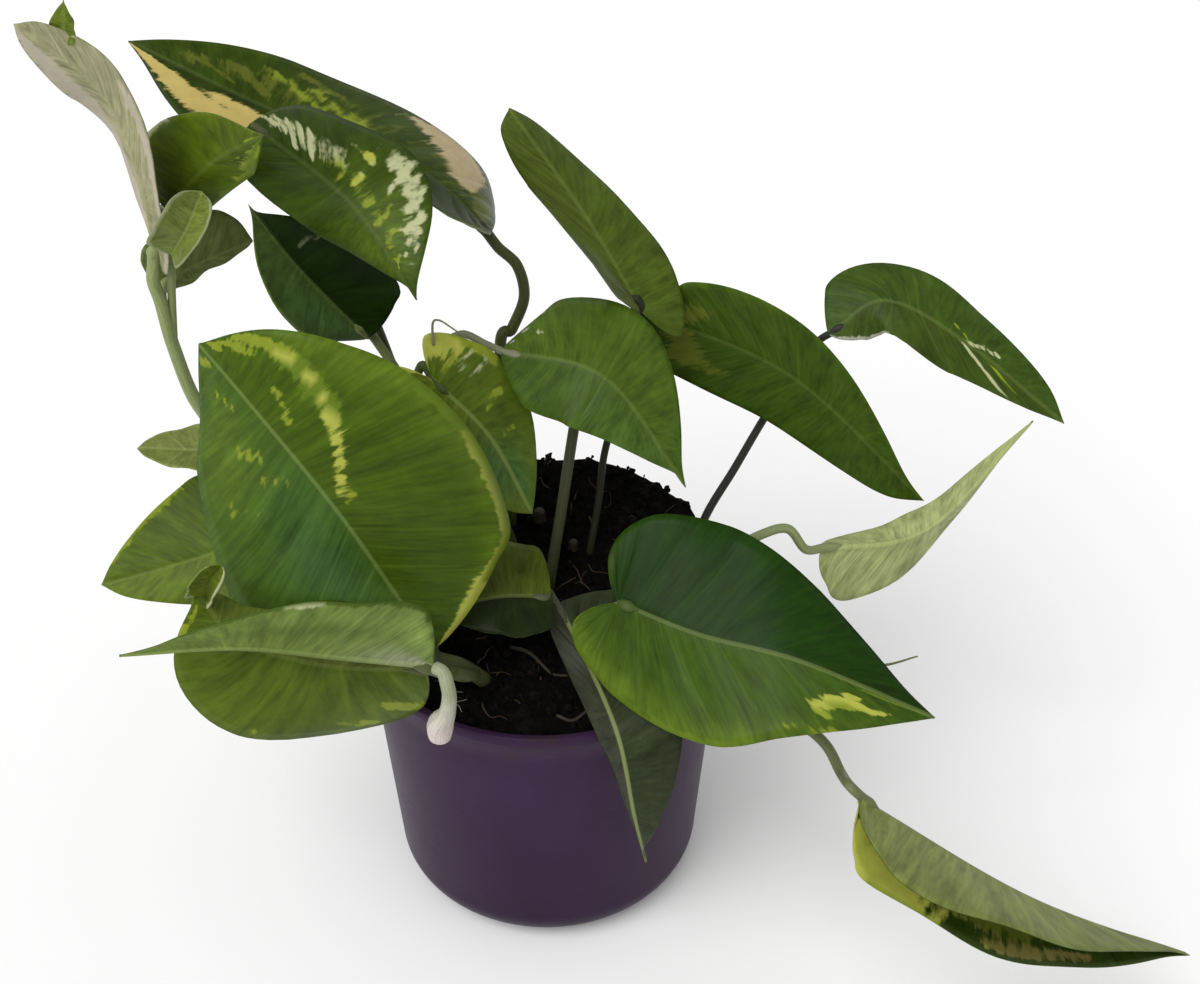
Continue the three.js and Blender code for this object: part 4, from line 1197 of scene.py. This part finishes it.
def lumps(x, y, z=0.0):
    """Uneven ground: waves in seeded directions, from coarse to fine."""
    rng = np.random.default_rng(5)
    total = 0 * x
    for size, amount in LUMPS:
        for _ in range(WAVES_PER_LUMP):
            turn = rng.uniform(0, TURN)
            lift = rng.uniform(-1, 1)
            phase = rng.uniform(0, TURN)
            way = math.cos(turn) * x + math.sin(turn) * y + lift * z
            total = total + amount / 2.5 * np.sin(TURN * way / size + phase)
    return total


def on_soil(x, y):
    """The height of the uneven ground at one place."""
    spot = (np.array([x]), np.array([y]))
    return float(soil_height(*spot)[0] + lumps(*spot)[0])


def build_soil(material):
    """The root ball: rings on top, down its rough side and inside the pot to the floor."""
    around = cos, sin = circle(SOIL_SEGMENTS)
    rings = []
    for share in np.linspace(0, 1, SOIL_RINGS + 1)[1:]:
        radius = SOIL_RADIUS * share ** 0.9
        x, y = radius * cos, radius * sin
        height = soil_height(x, y) - SOIL_EDGE_DROP * smooth_step(0.93, 1.0, share)
        rough = lumps(x, y) * (1 - 0.5 * smooth_step(0.95, 1.0, share))
        rings.append(ring(around, radius, height + rough))
    edge = rings[-1][:, 2]
    top = pot_inner_radius(POT_HEIGHT) - 2 * SOIL_GAP
    for share in (0.12, 0.3, 0.5, 0.7, 0.88, 1.0):
        radius = SOIL_RADIUS + (top - SOIL_RADIUS) * share
        height = edge + (POT_HEIGHT - 3 - edge) * share
        bulge = 0.5 * lumps(radius * cos, radius * sin, height) * math.sin(math.pi * share)
        rings.append(ring(around, radius + bulge, height))
    for radius, height in (
            (pot_inner_radius(FOOT_FILLET) - SOIL_GAP, FOOT_FILLET),
            (FOOT_RADIUS - FOOT_FILLET / 3 - WALL - 1.5 * SOIL_GAP, FOOT_FILLET / 2),
            (FOOT_RADIUS - FOOT_FILLET, FLOOR + SOIL_GAP)):
        rings.append(ring(around, radius, height))
    centre = (0, 0, float(soil_height(np.zeros(1), np.zeros(1))[0]))
    vertices, faces = closed_body(centre, rings, (0, 0, FLOOR + SOIL_GAP), swap=True)
    install(mesh_object("soil_ball", vertices, faces), material, "soil", "soil")


def scattered(rng, reach, inner, outer):
    """A random spot on the soil between two shares of its area."""
    angle = rng.uniform(0, TURN)
    radius = reach * math.sqrt(rng.uniform(inner, outer))
    return radius * math.cos(angle), radius * math.sin(angle)


def crumb_shape():
    """A ball: an icosphere's corners and faces, which each crumb roughens."""
    ball = bmesh.new()
    bmesh.ops.create_icosphere(ball, subdivisions=2, radius=1.0)
    vertices = np.array([v.co for v in ball.verts])
    faces = [[v.index for v in face.verts] for face in ball.faces]
    ball.free()
    return vertices, faces


def build_crumbs(material):
    rng = np.random.default_rng(11)
    ball, ball_faces = crumb_shape()
    smallest, spread = CRUMB_SIZES
    pieces = []
    for _ in range(CRUMBS):
        x, y = scattered(rng, SOIL_RADIUS + 0.6, 0.02, 1)
        size = smallest + spread * rng.uniform() ** 2.5
        drop = SOIL_EDGE_DROP * smooth_step(0.93, 1.0, math.hypot(x, y) / SOIL_RADIUS)
        turn, _ = np.linalg.qr(rng.normal(size=(3, 3)))
        stretch = rng.uniform(0.6, 1.25, 3)
        rough = 1 + CRUMB_ROUGHNESS * rng.standard_normal(len(ball))
        shape = (ball * rough[:, None] * stretch) @ turn * size
        pieces.append((shape + (x, y, on_soil(x, y) - drop + 0.25 * size), ball_faces))
    install(mesh_object("soil_crumbs", *join(pieces)), material, "soil")


def build_fibres(material):
    """Thin fibres that wander over the soil and stop at its edge."""
    rng = np.random.default_rng(23)
    pieces = []
    for k in range(FIBRES):
        x, y = scattered(rng, SOIL_RADIUS, 0, 0.95)
        heading = rng.uniform(0, TURN)
        stride = rng.uniform(*FIBRE_LENGTHS) / (FIBRE_STEPS - 1)
        points = []
        while len(points) < FIBRE_STEPS and math.hypot(x, y) <= SOIL_RADIUS:
            lift = 0.35 + 0.9 * rng.uniform()
            points.append((x, y, on_soil(x, y) + lift))
            heading += rng.uniform(-0.7, 0.7)
            x += stride * math.cos(heading)
            y += stride * math.sin(heading)
        if len(points) >= 3:
            radius_at = tapered(rng.uniform(*FIBRE_RADII), 1.1, 0.7)
            pieces.append(tinted(tube(points, radius_at, 6, 1.2, k), FIBRE_COLOUR))
    install_tubes("soil_fibres", pieces, material, "soil")


# ---- studio ----
def build_studio():
    corners = np.array([(-1, -1, 0), (1, -1, 0), (1, 1, 0), (-1, 1, 0)]) * FLOOR_HALF
    floor = mesh_object("studio_floor", corners / MM, [[0, 1, 2, 3]])
    floor.data.materials.append(floor_material())
    scene = bpy.context.scene
    scene.world = bpy.data.worlds.new("studio")
    scene.world.use_nodes = True
    background = scene.world.node_tree.nodes["Background"].inputs
    background["Color"].default_value = (1, 1, 1, 1)
    background["Strength"].default_value = SKY_STRENGTH
    sun = bpy.data.lights.new("key", "SUN")
    sun.energy = KEY_STRENGTH
    sun.angle = math.radians(KEY_SPREAD)
    key = bpy.data.objects.new("key", sun)
    key.rotation_euler = [math.radians(turn) for turn in KEY_TURN]
    scene.collection.objects.link(key)
    scene.view_settings.view_transform = "Standard"


def build_camera():
    data = bpy.data.cameras.new("camera")
    data.lens = CAMERA_LENS
    data.sensor_width = 36
    data.clip_start = 0.01
    camera = bpy.data.objects.new("camera", data)
    camera.location = CAMERA_PLACE
    camera.rotation_euler = (math.radians(CAMERA_TILT), 0, 0)
    bpy.context.scene.collection.objects.link(camera)
    bpy.context.scene.camera = camera


def main():
    build_camera()
    build_studio()
    leaf_skin = leaf_material()
    stem_skin = stem_material()
    for index, (name, leaf) in enumerate(LEAVES.items()):
        nodes = [] if name in CURLS else [f"leaf_{name}"]
        build_leaf(index, name, leaf, leaf_skin, *nodes)
    for index, (name, (colour, branches)) in enumerate(STEMS.items()):
        build_stem(index, name, colour, branches, stem_skin)
    build_shoot(stem_skin)
    build_pot(pot_material())
    build_soil(soil_material("soil_ground", (0.0012, 0.0009, 0.0008), (0.008, 0.006, 0.004), 0.85))
    build_crumbs(soil_material("soil_grains", (0.0018, 0.0013, 0.0011), (0.014, 0.010, 0.007), 0.8))
    build_fibres(stem_skin)
    build_ground_bits(stem_skin)
    build_bits(stem_skin)


main()
